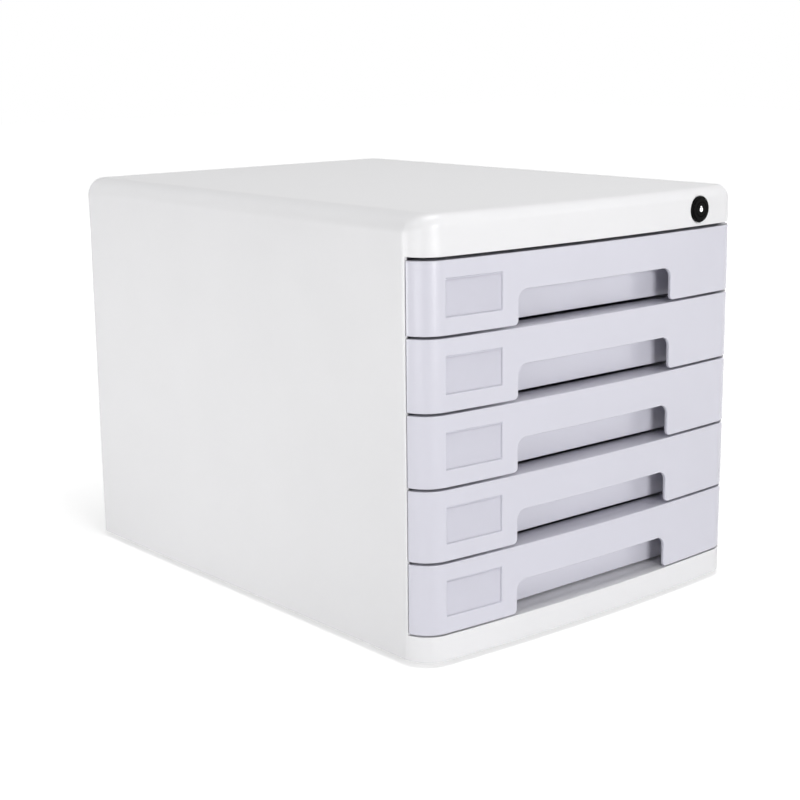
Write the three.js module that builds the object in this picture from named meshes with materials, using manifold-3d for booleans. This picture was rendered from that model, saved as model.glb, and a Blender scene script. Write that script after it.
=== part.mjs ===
// A desktop drawer cabinet. A moulded casing holds five drawers that slide out of its front,
// and a key lock raises one bar behind the drawer fronts that holds all five shut.
// Millimetres, +Z up. The front faces -Y and the right-hand side is +X. The origin is on the
// desk, under the middle of the casing.
import * as THREE from 'three';
import { mergeVertices } from 'three/addons/utils/BufferGeometryUtils.js';
import Module from 'manifold-3d';

const wasm = await Module();
wasm.setup();

// Gaps between pieces
const fitGap = 0.3;
const slideGap = 0.4;
const seamGap = 1.4;
const sillGap = 0.9;
const headerGap = 1.3;
const sideSeamGap = 0.5;
const overrun = 1;

// Casing
const casingWidth = 271;
const casingDepth = 361;
const casingWall = 2.5;
const frontBow = 5.8;
const frontCornerRadius = 17.8;
const rearCornerRadius = 4;
const sideEdgeRound = 13;
const frontEdgeRound = 7;
const rearEdgeRound = 2;
const footHeight = 3.1;
const sillHeight = 15.6;
const sillShelfDepth = 38;
const headerHeight = 23.7;
const returnDepth = 19.4;
const bossSize = 10;
const bossLength = 14;
const bossFromSide = 20;

// Base plate, feet, back panel and screws
const plateWall = 2.5;
const backRecess = 2.2;
const footRadius = 9;
const footChamfer = 0.8;
const footPegRadius = 2.2;
const footPegLength = 5.5;
const footFromSide = 22;
const footFromEnd = 30;
const screwRadius = 1.3;
const screwHeadRadius = 3;
const screwHeadHeight = 1.7;
const screwHeadRound = 0.6;
const screwLength = 10;
const screwTipGap = 1;
const baseScrewFromEnd = 62;

// Drawers
const drawerCount = 5;
const drawerPitch = 43.26;
const frontWall = 2.5;
const ledgeThickness = 1.7;
const cutoutHalf = 65.4;
const cutoutHeight = 20.3;
const cutoutCorner = 6.5;
const cutoutFlare = 3;
const recessDepth = 17.5;
const gussetRise = 3;
const labelWidth = 41.6;
const labelHeight = 22;
const labelFromCutout = 12;
const labelDepth = 1.6;
const labelRim = 1.4;
const cardThickness = 0.3;
const windowThickness = 0.5;
const trayWall = 2;
const trayFloor = 2;
const trayLift = 0.4;
const traySetback = 40.5;
const trayRearSpace = 12.5;
const trayCorner = 4;
const bayMargin = 24;
const bayCorner = 6;
const lipReach = 5;
const lipThickness = 2;
const trayKeptInside = 58;

// Runners on the liner panels
const linerWall = 2;
const sideSpace = 14.7;
const runnerClearance = 1.2;
const runnerThickness = 2.4;
const runnerSetback = 9;
const linerTopSpace = 3;
const stopTabLength = 6;
const stopTabHeight = 3.7;
const stopTabFromRear = 2;
const stopBlockLength = 5.7;

// Lock
const lockFromSide = 43.2;
const lockBelowTop = 13.2;
const flangeRadius = 8.3;
const flangeThickness = 2.2;
const flangeSink = 0.2;
const faceRadius = 7;
const faceRise = 0.8;
const barrelRadius = 5.8;
const plugRadius = 4.4;
const plugTailRadius = 2.2;
const keywayWidth = 0.7;
const keywayHeight = 2.8;
const keywayDepth = 9;
const keyPlateRadius = 1.9;
const keyPlateDrop = 0.2;
const keyPlateTopHalf = 0.8;
const keyPlateTopRise = 2.2;
const keyPlateSeatDepth = 1.2;
const keyPlateSink = 0.1;
const nutThickness = 3.5;
const nutRadius = 8.4;
const camThickness = 2;
const camHubRadius = 4.5;
const camPinRadius = 1.5;
const camThrow = 7.5;
const camScrewHeadRadius = 2.6;
const camScrewHeadHeight = 1.3;
const camScrewRadius = 0.8;
const camScrewLength = 4;
const camPinReach = 1;

// Locking bar, its guides and the drawers' catches
const barThickness = 3;
const barDepth = 8;
const barArmThickness = 2;
const barArmHalf = 3.8;
const barLift = 1.5;
const toothReach = 5;
const toothHeight = 6;
const catchGap = 1.3;
const toothDrop = 3.5;
const catchRise = 14.2;
const catchHeight = 8;
const catchWall = 2;
const catchLeg = 14;
const catchMargin = 2;
const guideRise = 26;
const guideHeight = 8;
const guideWall = 2.6;
const guideLip = 1.4;
const guideLipLength = 4;

// Counts and angles
const bowSteps = 12;
const cornerSteps = 5;
const rearCornerSteps = 2;
const roundSteps = 6;
const arcSteps = 4;
const roundSides = 18;
const smallSides = 10;
const nutSides = 6;
const guidedDrawers = [1, 4];
const camRestAngle = -Math.PI / 4;
const camTurn = Math.PI / 2;

// Places worked out from the sizes above
const halfWidth = casingWidth / 2;
const frontY = -casingDepth / 2;
const rearY = casingDepth / 2;
const innerHalf = halfWidth - casingWall;
const bowRadius = (halfWidth ** 2 + frontBow ** 2) / (2 * frontBow);
const bowCentreY = frontY + bowRadius;
const casingBottom = footHeight;
const sillTop = casingBottom + sillHeight;
const stackTop = sillTop + drawerCount * drawerPitch;
const headerBottom = stackTop + headerGap;
const casingTop = headerBottom + headerHeight;
const openingY = frontY + returnDepth;
const backPanelRear = rearY - backRecess;
const backPanelFront = backPanelRear - plateWall;
const plateTop = casingBottom + plateWall;
const bossX = innerHalf - bossFromSide;
const screwHoleRadius = screwRadius + fitGap;
const screwDepth = screwLength + screwTipGap;

const frontHeight = drawerPitch - seamGap;
const trayHalf = innerHalf - fitGap - linerWall - sideSpace;
const trayFront = frontY + traySetback;
const trayRear = rearY - trayRearSpace;
const trayHeight = frontHeight - ledgeThickness - fitGap - trayLift;
const bayFront = frontY + recessDepth;
const bayHalf = cutoutHalf + bayMargin;
const labelRight = -cutoutHalf - labelFromCutout;
const labelLeft = labelRight - labelWidth;

const linerOuter = innerHalf - fitGap;
const linerInner = linerOuter - linerWall;
const runnerInner = trayHalf + runnerClearance;
const runnerTop = trayHeight - lipThickness - slideGap;
const runnerBottom = runnerTop - runnerThickness;
const stopTop = runnerBottom - slideGap;
const linerFront = trayFront + runnerSetback;
const linerRear = backPanelFront - fitGap;
const stopTabRear = trayRear - stopTabFromRear;
const drawerTravel = trayRear - trayFront - trayKeptInside;

const lockX = halfWidth - lockFromSide;
const lockZ = casingTop - lockBelowTop;
const lockSeatY = frontSurface(lockX + flangeRadius) + flangeSink;
const flangeRearY = lockSeatY - fitGap;
const flangeFrontY = flangeRearY - flangeThickness;
const lockFaceY = flangeFrontY - faceRise;
const nutFrontY = frontSurface(lockX + nutRadius) + casingWall + fitGap;

const barOuter = linerInner - slideGap;
const barInner = barOuter - barThickness;
const toothInner = barInner - toothReach;
const catchFrontY = trayFront + fitGap;
const barRearY = catchFrontY - catchGap;
const barFrontY = barRearY - barDepth;
const barTravel = 2 * camThrow * Math.sin(camTurn / 2);
const camRearY = barFrontY - fitGap;
const camFrontY = camRearY - camThickness;
const barrelRearY = camFrontY - fitGap;
const catchOuter = barInner - catchGap;

// Turns a closed geometry into a solid that can be joined and cut.
function solidOf(geometry) {
  const bare = geometry.clone();
  bare.deleteAttribute('normal');
  bare.deleteAttribute('uv');
  const merged = mergeVertices(bare);
  const solid = new wasm.Manifold(new wasm.Mesh({
    numProp: 3,
    vertProperties: Float32Array.from(merged.attributes.position.array),
    triVerts: Uint32Array.from(merged.index.array),
  }));
  if (solid.volume() > 0) return solid;
  // A lathe profile that runs downwards comes out inside out, so its faces are turned round.
  const turned = Uint32Array.from(merged.index.array).reverse();
  return new wasm.Manifold(new wasm.Mesh({
    numProp: 3,
    vertProperties: Float32Array.from(merged.attributes.position.array),
    triVerts: turned,
  }));
}

// Turns a finished solid back into a geometry.
function geometryOf(solid) {
  const mesh = solid.getMesh();
  const geometry = new THREE.BufferGeometry();
  geometry.setAttribute('position', new THREE.BufferAttribute(Float32Array.from(mesh.vertProperties), 3));
  geometry.setIndex(new THREE.BufferAttribute(Uint32Array.from(mesh.triVerts), 1));
  geometry.computeVertexNormals();
  return geometry;
}

function box(x0, x1, y0, y1, z0, z1) {
  const geometry = new THREE.BoxGeometry(x1 - x0, y1 - y0, z1 - z0);
  geometry.translate((x0 + x1) / 2, (y0 + y1) / 2, (z0 + z1) / 2);
  return solidOf(geometry);
}

// An outline in plan, raised from z0 to z1.
function prism(shape, z0, z1, curveSegments = arcSteps) {
  const geometry = new THREE.ExtrudeGeometry(shape, { depth: z1 - z0, bevelEnabled: false, curveSegments });
  geometry.translate(0, 0, z0);
  return solidOf(geometry);
}

// An outline seen from the front, x across and z up, from y0 back to y1.
function frontPrism(shape, y0, y1, curveSegments = arcSteps) {
  const geometry = new THREE.ExtrudeGeometry(shape, { depth: y1 - y0, bevelEnabled: false, curveSegments });
  geometry.rotateX(Math.PI / 2);
  geometry.translate(0, y1, 0);
  return solidOf(geometry);
}

function cylinderAlongY(x, z, radius, y0, y1, sides = roundSides) {
  const geometry = new THREE.CylinderGeometry(radius, radius, y1 - y0, sides);
  geometry.translate(x, (y0 + y1) / 2, z);
  return solidOf(geometry);
}

function cylinderAlongZ(x, y, radius, z0, z1, sides = smallSides) {
  const geometry = new THREE.CylinderGeometry(radius, radius, z1 - z0, sides);
  geometry.rotateX(Math.PI / 2);
  geometry.translate(x, y, (z0 + z1) / 2);
  return solidOf(geometry);
}

// Revolves a profile of [radius, height] pairs that starts and ends on the axis or closes on itself.
function turned(profile, sides) {
  return new THREE.LatheGeometry(profile.map(([radius, rise]) => new THREE.Vector2(radius, rise)), sides);
}

// Where the bowed front lies at a place across it, moved back by an inset.
function frontSurface(x, inset = 0) {
  return bowCentreY - Math.sqrt((bowRadius - inset) ** 2 - x ** 2);
}

// Adds the points of an arc, its angles counted from straight ahead towards the right.
function addArc(points, centreX, centreY, radius, from, to, steps, first = 0, last = steps) {
  for (let step = first; step <= last; step += 1) {
    const angle = from + ((to - from) * step) / steps;
    points.push(new THREE.Vector2(centreX + radius * Math.sin(angle), centreY - radius * Math.cos(angle)));
  }
}

// The casing's outline in plan: a bowed front, round front corners and small rear corners.
function planOutline({ side, front, rear, corner, rearCorner }) {
  const half = halfWidth - side;
  const radius = bowRadius - front;
  const cornerX = half - corner;
  const cornerY = bowCentreY - Math.sqrt((radius - corner) ** 2 - cornerX ** 2);
  const bowEnd = Math.asin(cornerX / (radius - corner));
  const rearX = half - rearCorner;
  const rearCentreY = rear - rearCorner;
  const quarter = Math.PI / 2;
  const points = [];
  addArc(points, 0, bowCentreY, radius, -bowEnd, bowEnd, bowSteps);
  addArc(points, cornerX, cornerY, corner, bowEnd, quarter, cornerSteps, 1);
  addArc(points, rearX, rearCentreY, rearCorner, quarter, 2 * quarter, rearCornerSteps);
  addArc(points, -rearX, rearCentreY, rearCorner, 2 * quarter, 3 * quarter, rearCornerSteps);
  addArc(points, -cornerX, cornerY, corner, 3 * quarter, 4 * quarter - bowEnd, cornerSteps, 0, cornerSteps - 1);
  return points;
}

// The same outline with every wall moved in alike, as a prism.
function insetPrism(inset, z0, z1) {
  const points = planOutline({
    side: inset,
    front: inset,
    rear: rearY - inset,
    corner: frontCornerRadius - inset,
    rearCorner: rearCornerRadius,
  });
  return prism(new THREE.Shape(points), z0, z1);
}

// Joins rings of points, all with the same count and each of them convex, into a closed body.
function loft(rings) {
  const count = rings[0].points.length;
  const positions = rings.flatMap(({ points, z }) => points.flatMap((point) => [point.x, point.y, z]));
  const index = [];
  for (let ring = 0; ring < rings.length - 1; ring += 1) {
    for (let step = 0; step < count; step += 1) {
      const low = ring * count + step;
      const lowNext = ring * count + ((step + 1) % count);
      index.push(low, lowNext, lowNext + count, low, lowNext + count, low + count);
    }
  }
  const topStart = (rings.length - 1) * count;
  for (let step = 1; step < count - 1; step += 1) {
    index.push(0, step + 1, step);
    index.push(topStart, topStart + step, topStart + step + 1);
  }
  const geometry = new THREE.BufferGeometry();
  geometry.setAttribute('position', new THREE.BufferAttribute(new Float32Array(positions), 3));
  geometry.setIndex(index);
  return geometry;
}

// How far a rounded top edge has drawn in at a depth under the top.
function roundInset(radius, below) {
  if (below >= radius) return 0;
  return radius - Math.sqrt(radius ** 2 - (radius - below) ** 2);
}

// The casing's outer body, or its hollow when every wall is moved in, with the long edges
// of the top rounded fully and the front edge less.
function casingBody(inset, bottom, rear) {
  const top = casingTop - inset;
  const sideRound = sideEdgeRound - inset;
  const frontRound = frontEdgeRound - inset;
  const ringAt = (z, sideInset) => {
    const frontInset = roundInset(frontRound, top - z);
    return {
      z,
      points: planOutline({
        side: inset + sideInset,
        front: inset + frontInset,
        rear: rear - roundInset(rearEdgeRound, top - z),
        corner: frontCornerRadius - inset - frontInset,
        rearCorner: rearCornerRadius,
      }),
    };
  };
  const rings = [ringAt(bottom, 0)];
  for (let step = 0; step <= roundSteps; step += 1) {
    const angle = (step / roundSteps) * (Math.PI / 2);
    rings.push(ringAt(top - sideRound * (1 - Math.sin(angle)), sideRound * (1 - Math.cos(angle))));
  }
  return solidOf(loft(rings));
}

function baseScrewPlaces() {
  const x = innerHalf - bossSize / 2;
  const y = rearY - baseScrewFromEnd;
  return { front_left: [-x, -y], front_right: [x, -y], rear_left: [-x, y], rear_right: [x, y] };
}

function backScrewPlaces() {
  const lower = plateTop + bossSize / 2;
  const upper = casingTop - casingWall - bossSize / 2;
  return {
    lower_left: [-bossX, lower], lower_right: [bossX, lower], upper_left: [-bossX, upper], upper_right: [bossX, upper],
  };
}

function footPlaces() {
  const x = innerHalf - footFromSide;
  const y = rearY - footFromEnd;
  return { front_left: [-x, -y], front_right: [x, -y], rear_left: [-x, y], rear_right: [x, y] };
}

// Top, sides, header and sill in one moulding, open at the back and underneath.
function outerShell() {
  const shelf = box(
    -halfWidth, halfWidth, frontY - overrun, frontY + sillShelfDepth, sillTop - casingWall, sillTop,
  );
  const hollow = casingBody(casingWall, casingBottom - overrun, rearY + overrun + rearCornerRadius).subtract(shelf);
  let shell = casingBody(0, casingBottom, rearY).subtract(hollow);
  shell = shell.subtract(box(
    -halfWidth - overrun, halfWidth + overrun, frontY - overrun, openingY, sillTop, headerBottom,
  ));
  const bossBottom = plateTop + fitGap;
  for (const [x, y] of Object.values(baseScrewPlaces())) {
    const half = bossSize / 2;
    const boss = box(
      x > 0 ? x - half : x - half - overrun, x > 0 ? x + half + overrun : x + half,
      y - half, y + half, bossBottom, bossBottom + bossSize,
    );
    shell = shell.add(boss).subtract(cylinderAlongZ(x, y, screwHoleRadius, bossBottom - overrun, bossBottom + screwDepth));
  }
  const places = backScrewPlaces();
  for (const [x, z] of [places.upper_left, places.upper_right]) {
    const half = bossSize / 2;
    const rear = backPanelFront - fitGap;
    const boss = box(x - half, x + half, rear - bossLength, rear, z - half, z + half + overrun);
    shell = shell.add(boss).subtract(cylinderAlongY(x, z, screwHoleRadius, rear - screwDepth, rear + overrun, smallSides));
  }
  shell = shell.subtract(cylinderAlongY(lockX, lockZ, flangeRadius + fitGap, frontY - overrun, lockSeatY));
  shell = shell.subtract(cylinderAlongY(lockX, lockZ, barrelRadius + fitGap, frontY - overrun, nutFrontY));
  return shell;
}

// The floor of the casing, with two bosses that take the back panel's lower screws.
function basePlate() {
  const points = planOutline({
    side: casingWall + fitGap,
    front: casingWall + fitGap,
    rear: backPanelFront - fitGap,
    corner: frontCornerRadius - casingWall - fitGap,
    rearCorner: rearCornerRadius,
  });
  let plate = prism(new THREE.Shape(points), casingBottom, plateTop);
  const places = backScrewPlaces();
  for (const [x, z] of [places.lower_left, places.lower_right]) {
    const half = bossSize / 2;
    const rear = backPanelFront - fitGap;
    plate = plate.add(box(x - half, x + half, rear - bossLength, rear, plateTop - plateWall / 2, z + half));
    plate = plate.subtract(cylinderAlongY(x, z, screwHoleRadius, rear - screwDepth, rear + overrun, smallSides));
  }
  for (const [x, y] of Object.values(baseScrewPlaces())) {
    plate = plate.subtract(cylinderAlongZ(x, y, screwHoleRadius, casingBottom - overrun, plateTop + overrun));
  }
  for (const [x, y] of Object.values(footPlaces())) {
    plate = plate.subtract(cylinderAlongZ(x, y, footPegRadius + fitGap, casingBottom - overrun, plateTop + overrun));
  }
  return plate;
}

// The panel that closes the back, its top corners round to match the hollow.
function backPanel() {
  const half = innerHalf - fitGap;
  const top = casingTop - casingWall - fitGap;
  const round = sideEdgeRound - casingWall;
  const shape = new THREE.Shape();
  shape.moveTo(-half, casingBottom);
  shape.lineTo(half, casingBottom);
  shape.lineTo(half, top - round);
  shape.absarc(half - round, top - round, round, 0, Math.PI / 2, false);
  shape.lineTo(-half + round, top);
  shape.absarc(-half + round, top - round, round, Math.PI / 2, Math.PI, false);
  let panel = frontPrism(shape, backPanelFront, backPanelRear);
  for (const [x, z] of Object.values(backScrewPlaces())) {
    panel = panel.subtract(
      cylinderAlongY(x, z, screwHoleRadius, backPanelFront - overrun, backPanelRear + overrun, smallSides),
    );
  }
  return panel;
}

// A pan-head screw, its head down and its shank up, with the underside of the head at zero.
function screw() {
  const profile = [
    [0, -screwHeadHeight],
    [screwHeadRadius - screwHeadRound, -screwHeadHeight],
    [screwHeadRadius, -screwHeadHeight + screwHeadRound],
    [screwHeadRadius, 0],
    [screwRadius, 0],
    [screwRadius, screwLength - screwRadius],
    [0, screwLength],
  ];
  const geometry = turned(profile, smallSides);
  geometry.rotateX(Math.PI / 2);
  return solidOf(geometry);
}

function foot() {
  const top = footHeight - fitGap;
  const geometry = turned([
    [0, 0],
    [footRadius - footChamfer, 0],
    [footRadius, footChamfer],
    [footRadius, top],
    [footPegRadius, top],
    [footPegRadius, top + footPegLength],
    [0, top + footPegLength],
  ], roundSides);
  geometry.rotateX(Math.PI / 2);
  return solidOf(geometry);
}

function trayBottomOf(drawer) {
  return frontBottomOf(drawer) + trayLift;
}

function frontBottomOf(drawer) {
  return sillTop + sillGap + (drawerCount - drawer) * drawerPitch;
}

// Five runners for the drawers' lips, with a guide rib over each lip and a stop under each
// runner. The right-hand panel also carries the hooks that guide the locking bar.
function runnerPanel(side) {
  const bottom = trayBottomOf(drawerCount);
  const top = headerBottom - linerTopSpace;
  const slab = (inner, outer, y0, y1, z0, z1) => (
    side > 0 ? box(inner, outer, y0, y1, z0, z1) : box(-outer, -inner, y0, y1, z0, z1)
  );
  let panel = slab(linerInner, linerOuter, linerFront - runnerSetback, linerRear, bottom, top);
  const root = linerInner + linerWall / 2;
  const stopRear = stopTabRear - stopTabLength - drawerTravel - slideGap;
  for (let drawer = 1; drawer <= drawerCount; drawer += 1) {
    const floor = trayBottomOf(drawer);
    const lipTop = floor + trayHeight;
    panel = panel.add(slab(runnerInner, root, linerFront, linerRear, floor + runnerBottom, floor + runnerTop));
    panel = panel.add(slab(
      runnerInner, root, stopRear - stopBlockLength, stopRear,
      floor + stopTop - stopTabHeight, floor + runnerBottom + runnerThickness / 2,
    ));
    const ribBottom = lipTop + slideGap;
    panel = panel.add(slab(
      runnerInner, root, linerFront, linerRear, ribBottom, Math.min(ribBottom + runnerThickness / 2, top),
    ));
  }
  if (side < 0) return panel;
  const hookFront = barFrontY - slideGap;
  const hookRear = barRearY + slideGap;
  const lipOuter = barInner - slideGap;
  for (const drawer of guidedDrawers) {
    const low = trayBottomOf(drawer) + guideRise;
    const high = low + guideHeight;
    const lipInner = lipOuter - guideLip;
    panel = panel.add(slab(linerInner, linerOuter, hookFront - guideWall, linerFront, low, high));
    panel = panel.add(slab(lipInner, linerOuter, hookFront - guideWall, hookFront, low, high));
    panel = panel.add(slab(lipInner, lipOuter, hookFront - guideWall / 2, hookFront + guideLipLength, low, high));
    panel = panel.add(slab(lipOuter, linerOuter, hookRear, hookRear + guideWall, low, high));
  }
  return panel;
}

// A drawer tray's outline in plan: a rectangle with a bay in the middle of its front.
function trayShape(inset) {
  const half = trayHalf - inset;
  const rear = trayRear - inset;
  const front = trayFront + inset;
  const corner = trayCorner - inset / 2;
  const bay = bayHalf - inset;
  const bayY = bayFront + inset;
  const bayRound = bayCorner - inset;
  const quarter = Math.PI / 2;
  const shape = new THREE.Shape();
  shape.moveTo(-half, front);
  shape.lineTo(-bay, front);
  shape.lineTo(-bay, bayY + bayRound);
  shape.absarc(-bay + bayRound, bayY + bayRound, bayRound, -2 * quarter, -quarter, false);
  shape.lineTo(bay - bayRound, bayY);
  shape.absarc(bay - bayRound, bayY + bayRound, bayRound, -quarter, 0, false);
  shape.lineTo(bay, front);
  shape.lineTo(half, front);
  shape.lineTo(half, rear - corner);
  shape.absarc(half - corner, rear - corner, corner, 0, quarter, false);
  shape.lineTo(-half + corner, rear);
  shape.absarc(-half + corner, rear - corner, corner, quarter, 2 * quarter, false);
  return shape;
}

// An open tray with lips that hang on the runners and tabs at the rear that meet the stops.
function tray(drawer) {
  const bottom = trayBottomOf(drawer);
  const rim = bottom + trayHeight;
  let body = prism(trayShape(0), bottom, rim);
  const lipRoot = trayHalf - trayWall / 2;
  const lipOuter = trayHalf + lipReach;
  const tabFront = stopTabRear - stopTabLength;
  const tabTop = bottom + stopTop;
  for (const side of [-1, 1]) {
    const inner = side * lipRoot;
    const outer = side * lipOuter;
    const [x0, x1] = [Math.min(inner, outer), Math.max(inner, outer)];
    body = body.add(box(x0, x1, linerFront, trayRear - trayCorner, rim - lipThickness, rim));
    body = body.add(box(x0, x1, tabFront, stopTabRear, tabTop - stopTabHeight, tabTop));
  }
  return body.subtract(prism(trayShape(trayWall), bottom + trayFloor, rim + overrun));
}

// The finger cutout in a drawer front's lower edge, its bottom corners rounded outwards.
function cutoutShape(bottom) {
  const half = cutoutHalf;
  const flare = cutoutFlare;
  const top = bottom + cutoutHeight;
  const round = cutoutCorner;
  const quarter = Math.PI / 2;
  const shape = new THREE.Shape();
  shape.moveTo(-half - flare, bottom - overrun);
  shape.lineTo(half + flare, bottom - overrun);
  shape.lineTo(half + flare, bottom);
  shape.absarc(half + flare, bottom + flare, flare, -quarter, -2 * quarter, true);
  shape.lineTo(half, top - round);
  shape.absarc(half - round, top - round, round, 0, quarter, false);
  shape.lineTo(-half + round, top);
  shape.absarc(-half + round, top - round, round, quarter, 2 * quarter, false);
  shape.lineTo(-half, bottom + flare);
  shape.absarc(-half - flare, bottom + flare, flare, 0, -quarter, true);
  return shape;
}

// A slab of the casing's bowed front skin between two insets, inside a window.
function skinPatch(outerInset, innerInset, x0, x1, z0, z1) {
  const window = box(x0, x1, frontY - overrun, openingY, z0, z1);
  const skin = insetPrism(outerInset, z0 - overrun, z1 + overrun).subtract(
    insetPrism(innerInset, z0 - 2 * overrun, z1 + 2 * overrun),
  );
  return window.intersect(skin);
}

function labelWindowOf(drawer) {
  const middle = frontBottomOf(drawer) + frontHeight / 2;
  return [labelLeft, labelRight, middle - labelHeight / 2, middle + labelHeight / 2];
}

// A drawer front: a skin that follows the casing's bowed front and wraps both corners, a ledge
// on top that runs back over the tray's rim, a gusset on each side of the tray's bay, a finger
// cutout and a label recess.
function drawerFront(drawer) {
  const bottom = frontBottomOf(drawer);
  const top = bottom + frontHeight;
  const rear = openingY - sideSeamGap;
  const keep = box(-halfWidth - overrun, halfWidth + overrun, frontY - overrun, rear, bottom, top);
  const outer = insetPrism(0, bottom, top).intersect(keep);
  const hollow = insetPrism(frontWall, bottom - overrun, top - ledgeThickness);
  let front = outer.subtract(hollow);
  const ledgeRear = trayFront + trayWall;
  front = front.add(box(-trayHalf, trayHalf, rear - overrun, ledgeRear, top - ledgeThickness, top));
  const bay = prism(trayShape(trayWall), bottom, top + overrun);
  front = front.subtract(bay.intersect(box(-trayHalf, trayHalf, frontY, trayRear, bottom, top + overrun)));
  for (const side of [-1, 1]) {
    const x = (side * (bayHalf + trayHalf)) / 2;
    const start = frontSurface(x, frontWall / 2);
    front = front.add(box(
      x - frontWall / 2, x + frontWall / 2, start, trayFront - fitGap, bottom + gussetRise, top - ledgeThickness / 2,
    ));
  }
  front = front.subtract(frontPrism(cutoutShape(bottom), frontY - overrun, bayFront));
  const [x0, x1, z0, z1] = labelWindowOf(drawer);
  return front.subtract(skinPatch(-overrun, labelDepth, x0, x1, z0, z1));
}

function labelCard(drawer) {
  const [x0, x1, z0, z1] = labelWindowOf(drawer);
  const inner = labelDepth - fitGap;
  return skinPatch(inner - cardThickness, inner, x0 + labelRim, x1 - labelRim, z0 + labelRim, z1 - labelRim);
}

function labelCover(drawer) {
  const [x0, x1, z0, z1] = labelWindowOf(drawer);
  const inner = labelDepth - 2 * fitGap - cardThickness;
  return skinPatch(inner - windowThickness, inner, x0 + fitGap, x1 - fitGap, z0 + fitGap, z1 - fitGap);
}

// A bent steel catch on the tray's right-hand side, which the locking bar's tooth stops.
function drawerCatch(drawer) {
  const low = trayBottomOf(drawer) + catchRise;
  const high = low + catchHeight;
  const inner = trayHalf + fitGap;
  const leg = box(inner, inner + catchWall, catchFrontY, catchFrontY + catchLeg, low - catchMargin, high + catchMargin);
  return leg.add(box(inner, catchOuter, catchFrontY, catchFrontY + catchWall, low, high));
}

// One vertical strip with a tooth for each drawer and an arm that the lock's pin lifts. Its
// top corner is cut back so that it clears the casing's rounded edge when the bar is up.
function lockingBar() {
  const top = lockZ + camThrow * Math.sin(camRestAngle) + barArmHalf;
  let bar = box(barInner, barOuter, barFrontY, barRearY, sillTop + barLift, top);
  for (let drawer = 1; drawer <= drawerCount; drawer += 1) {
    const toothTop = trayBottomOf(drawer) + catchRise - toothDrop;
    bar = bar.add(box(toothInner, barInner + barThickness / 2, barFrontY, barRearY, toothTop - toothHeight, toothTop));
  }
  const pinX = lockX + camThrow * Math.cos(camRestAngle);
  const pinZ = lockZ + camThrow * Math.sin(camRestAngle);
  const forkEnd = pinX - camPinRadius - fitGap / 2;
  const slotEnd = lockX + camThrow + camPinRadius + slideGap;
  const slotHalf = camPinRadius + slideGap;
  const armRear = barFrontY + barArmThickness;
  bar = bar.add(box(
    forkEnd, barInner + barThickness / 2, barFrontY, armRear, pinZ - barArmHalf, pinZ + barArmHalf,
  ));
  bar = bar.subtract(box(
    forkEnd - overrun, slotEnd, barFrontY - overrun, armRear + overrun, pinZ - slotHalf, pinZ + slotHalf,
  ));
  return bar.intersect(casingBody(casingWall + slideGap, casingBottom, rearY).translate([0, 0, -barTravel]));
}

// The fixed body of the lock: a flange with a raised face, and a barrel through the header.
function lockBarrel() {
  const bore = plugRadius + fitGap;
  const edge = faceRise / 2;
  const geometry = turned([
    [bore, lockFaceY],
    [faceRadius - edge, lockFaceY],
    [faceRadius, lockFaceY + edge],
    [faceRadius, flangeFrontY],
    [flangeRadius - edge, flangeFrontY],
    [flangeRadius, flangeFrontY + edge],
    [flangeRadius, flangeRearY],
    [barrelRadius, flangeRearY],
    [barrelRadius, barrelRearY],
    [bore, barrelRearY],
    [bore, lockFaceY],
  ], roundSides);
  geometry.translate(lockX, 0, lockZ);
  return solidOf(geometry);
}

// A keyhole outline seen from the front: a round foot with a narrow slot standing on it.
function keyholeShape(margin) {
  const radius = keyPlateRadius + margin;
  const half = keyPlateTopHalf + margin;
  const foot = lockZ - keyPlateDrop;
  const top = lockZ + keyPlateTopRise + margin;
  const quarter = Math.PI / 2;
  const meet = Math.asin(half / radius);
  const shape = new THREE.Shape();
  shape.moveTo(lockX + half, top);
  shape.lineTo(lockX - half, top);
  shape.absarc(lockX, foot, radius, quarter + meet, 5 * quarter - meet, false);
  return shape;
}

// The bright keyhole plate let into the plug's face, with the slit that the key goes through.
function lockKeyholePlate() {
  const front = lockFaceY + keyPlateSink;
  const rear = lockFaceY + keyPlateSeatDepth - fitGap;
  return frontPrism(keyholeShape(0), front, rear).subtract(keyway(front - overrun, rear + overrun));
}

// The slit that the key goes through, cut through whatever lies between two places from the front.
function keyway(front, rear) {
  const half = keywayWidth / 2;
  return box(lockX - half, lockX + half, front, rear, lockZ - keywayHeight / 2, lockZ + keywayHeight / 2);
}

// The turning plug, with a seat for the keyhole plate, a keyway behind it and a tail for the cam.
function lockPlug() {
  const tailRear = camRearY;
  const shoulder = barrelRearY - fitGap;
  const geometry = turned([
    [0, lockFaceY],
    [plugRadius, lockFaceY],
    [plugRadius, shoulder],
    [plugTailRadius, shoulder],
    [plugTailRadius, tailRear],
    [0, tailRear],
  ], roundSides);
  geometry.translate(lockX, 0, lockZ);
  const seat = frontPrism(keyholeShape(fitGap), lockFaceY - overrun, lockFaceY + keyPlateSeatDepth);
  const screwHole = cylinderAlongY(
    lockX, lockZ, camScrewRadius + fitGap, camRearY - camScrewLength - screwTipGap, camRearY + overrun, smallSides,
  );
  return solidOf(geometry)
    .subtract(seat)
    .subtract(keyway(lockFaceY, lockFaceY + keywayDepth))
    .subtract(screwHole);
}

function lockNut() {
  const shape = new THREE.Shape();
  for (let corner = 0; corner < nutSides; corner += 1) {
    const angle = (corner * 2 * Math.PI) / nutSides;
    const x = lockX + nutRadius * Math.cos(angle);
    const z = lockZ + nutRadius * Math.sin(angle);
    if (corner === 0) shape.moveTo(x, z);
    else shape.lineTo(x, z);
  }
  const hole = new THREE.Path();
  hole.absarc(lockX, lockZ, barrelRadius + fitGap, 0, 2 * Math.PI, false);
  shape.holes.push(hole);
  return frontPrism(shape, nutFrontY, nutFrontY + nutThickness, roundSides);
}

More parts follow.
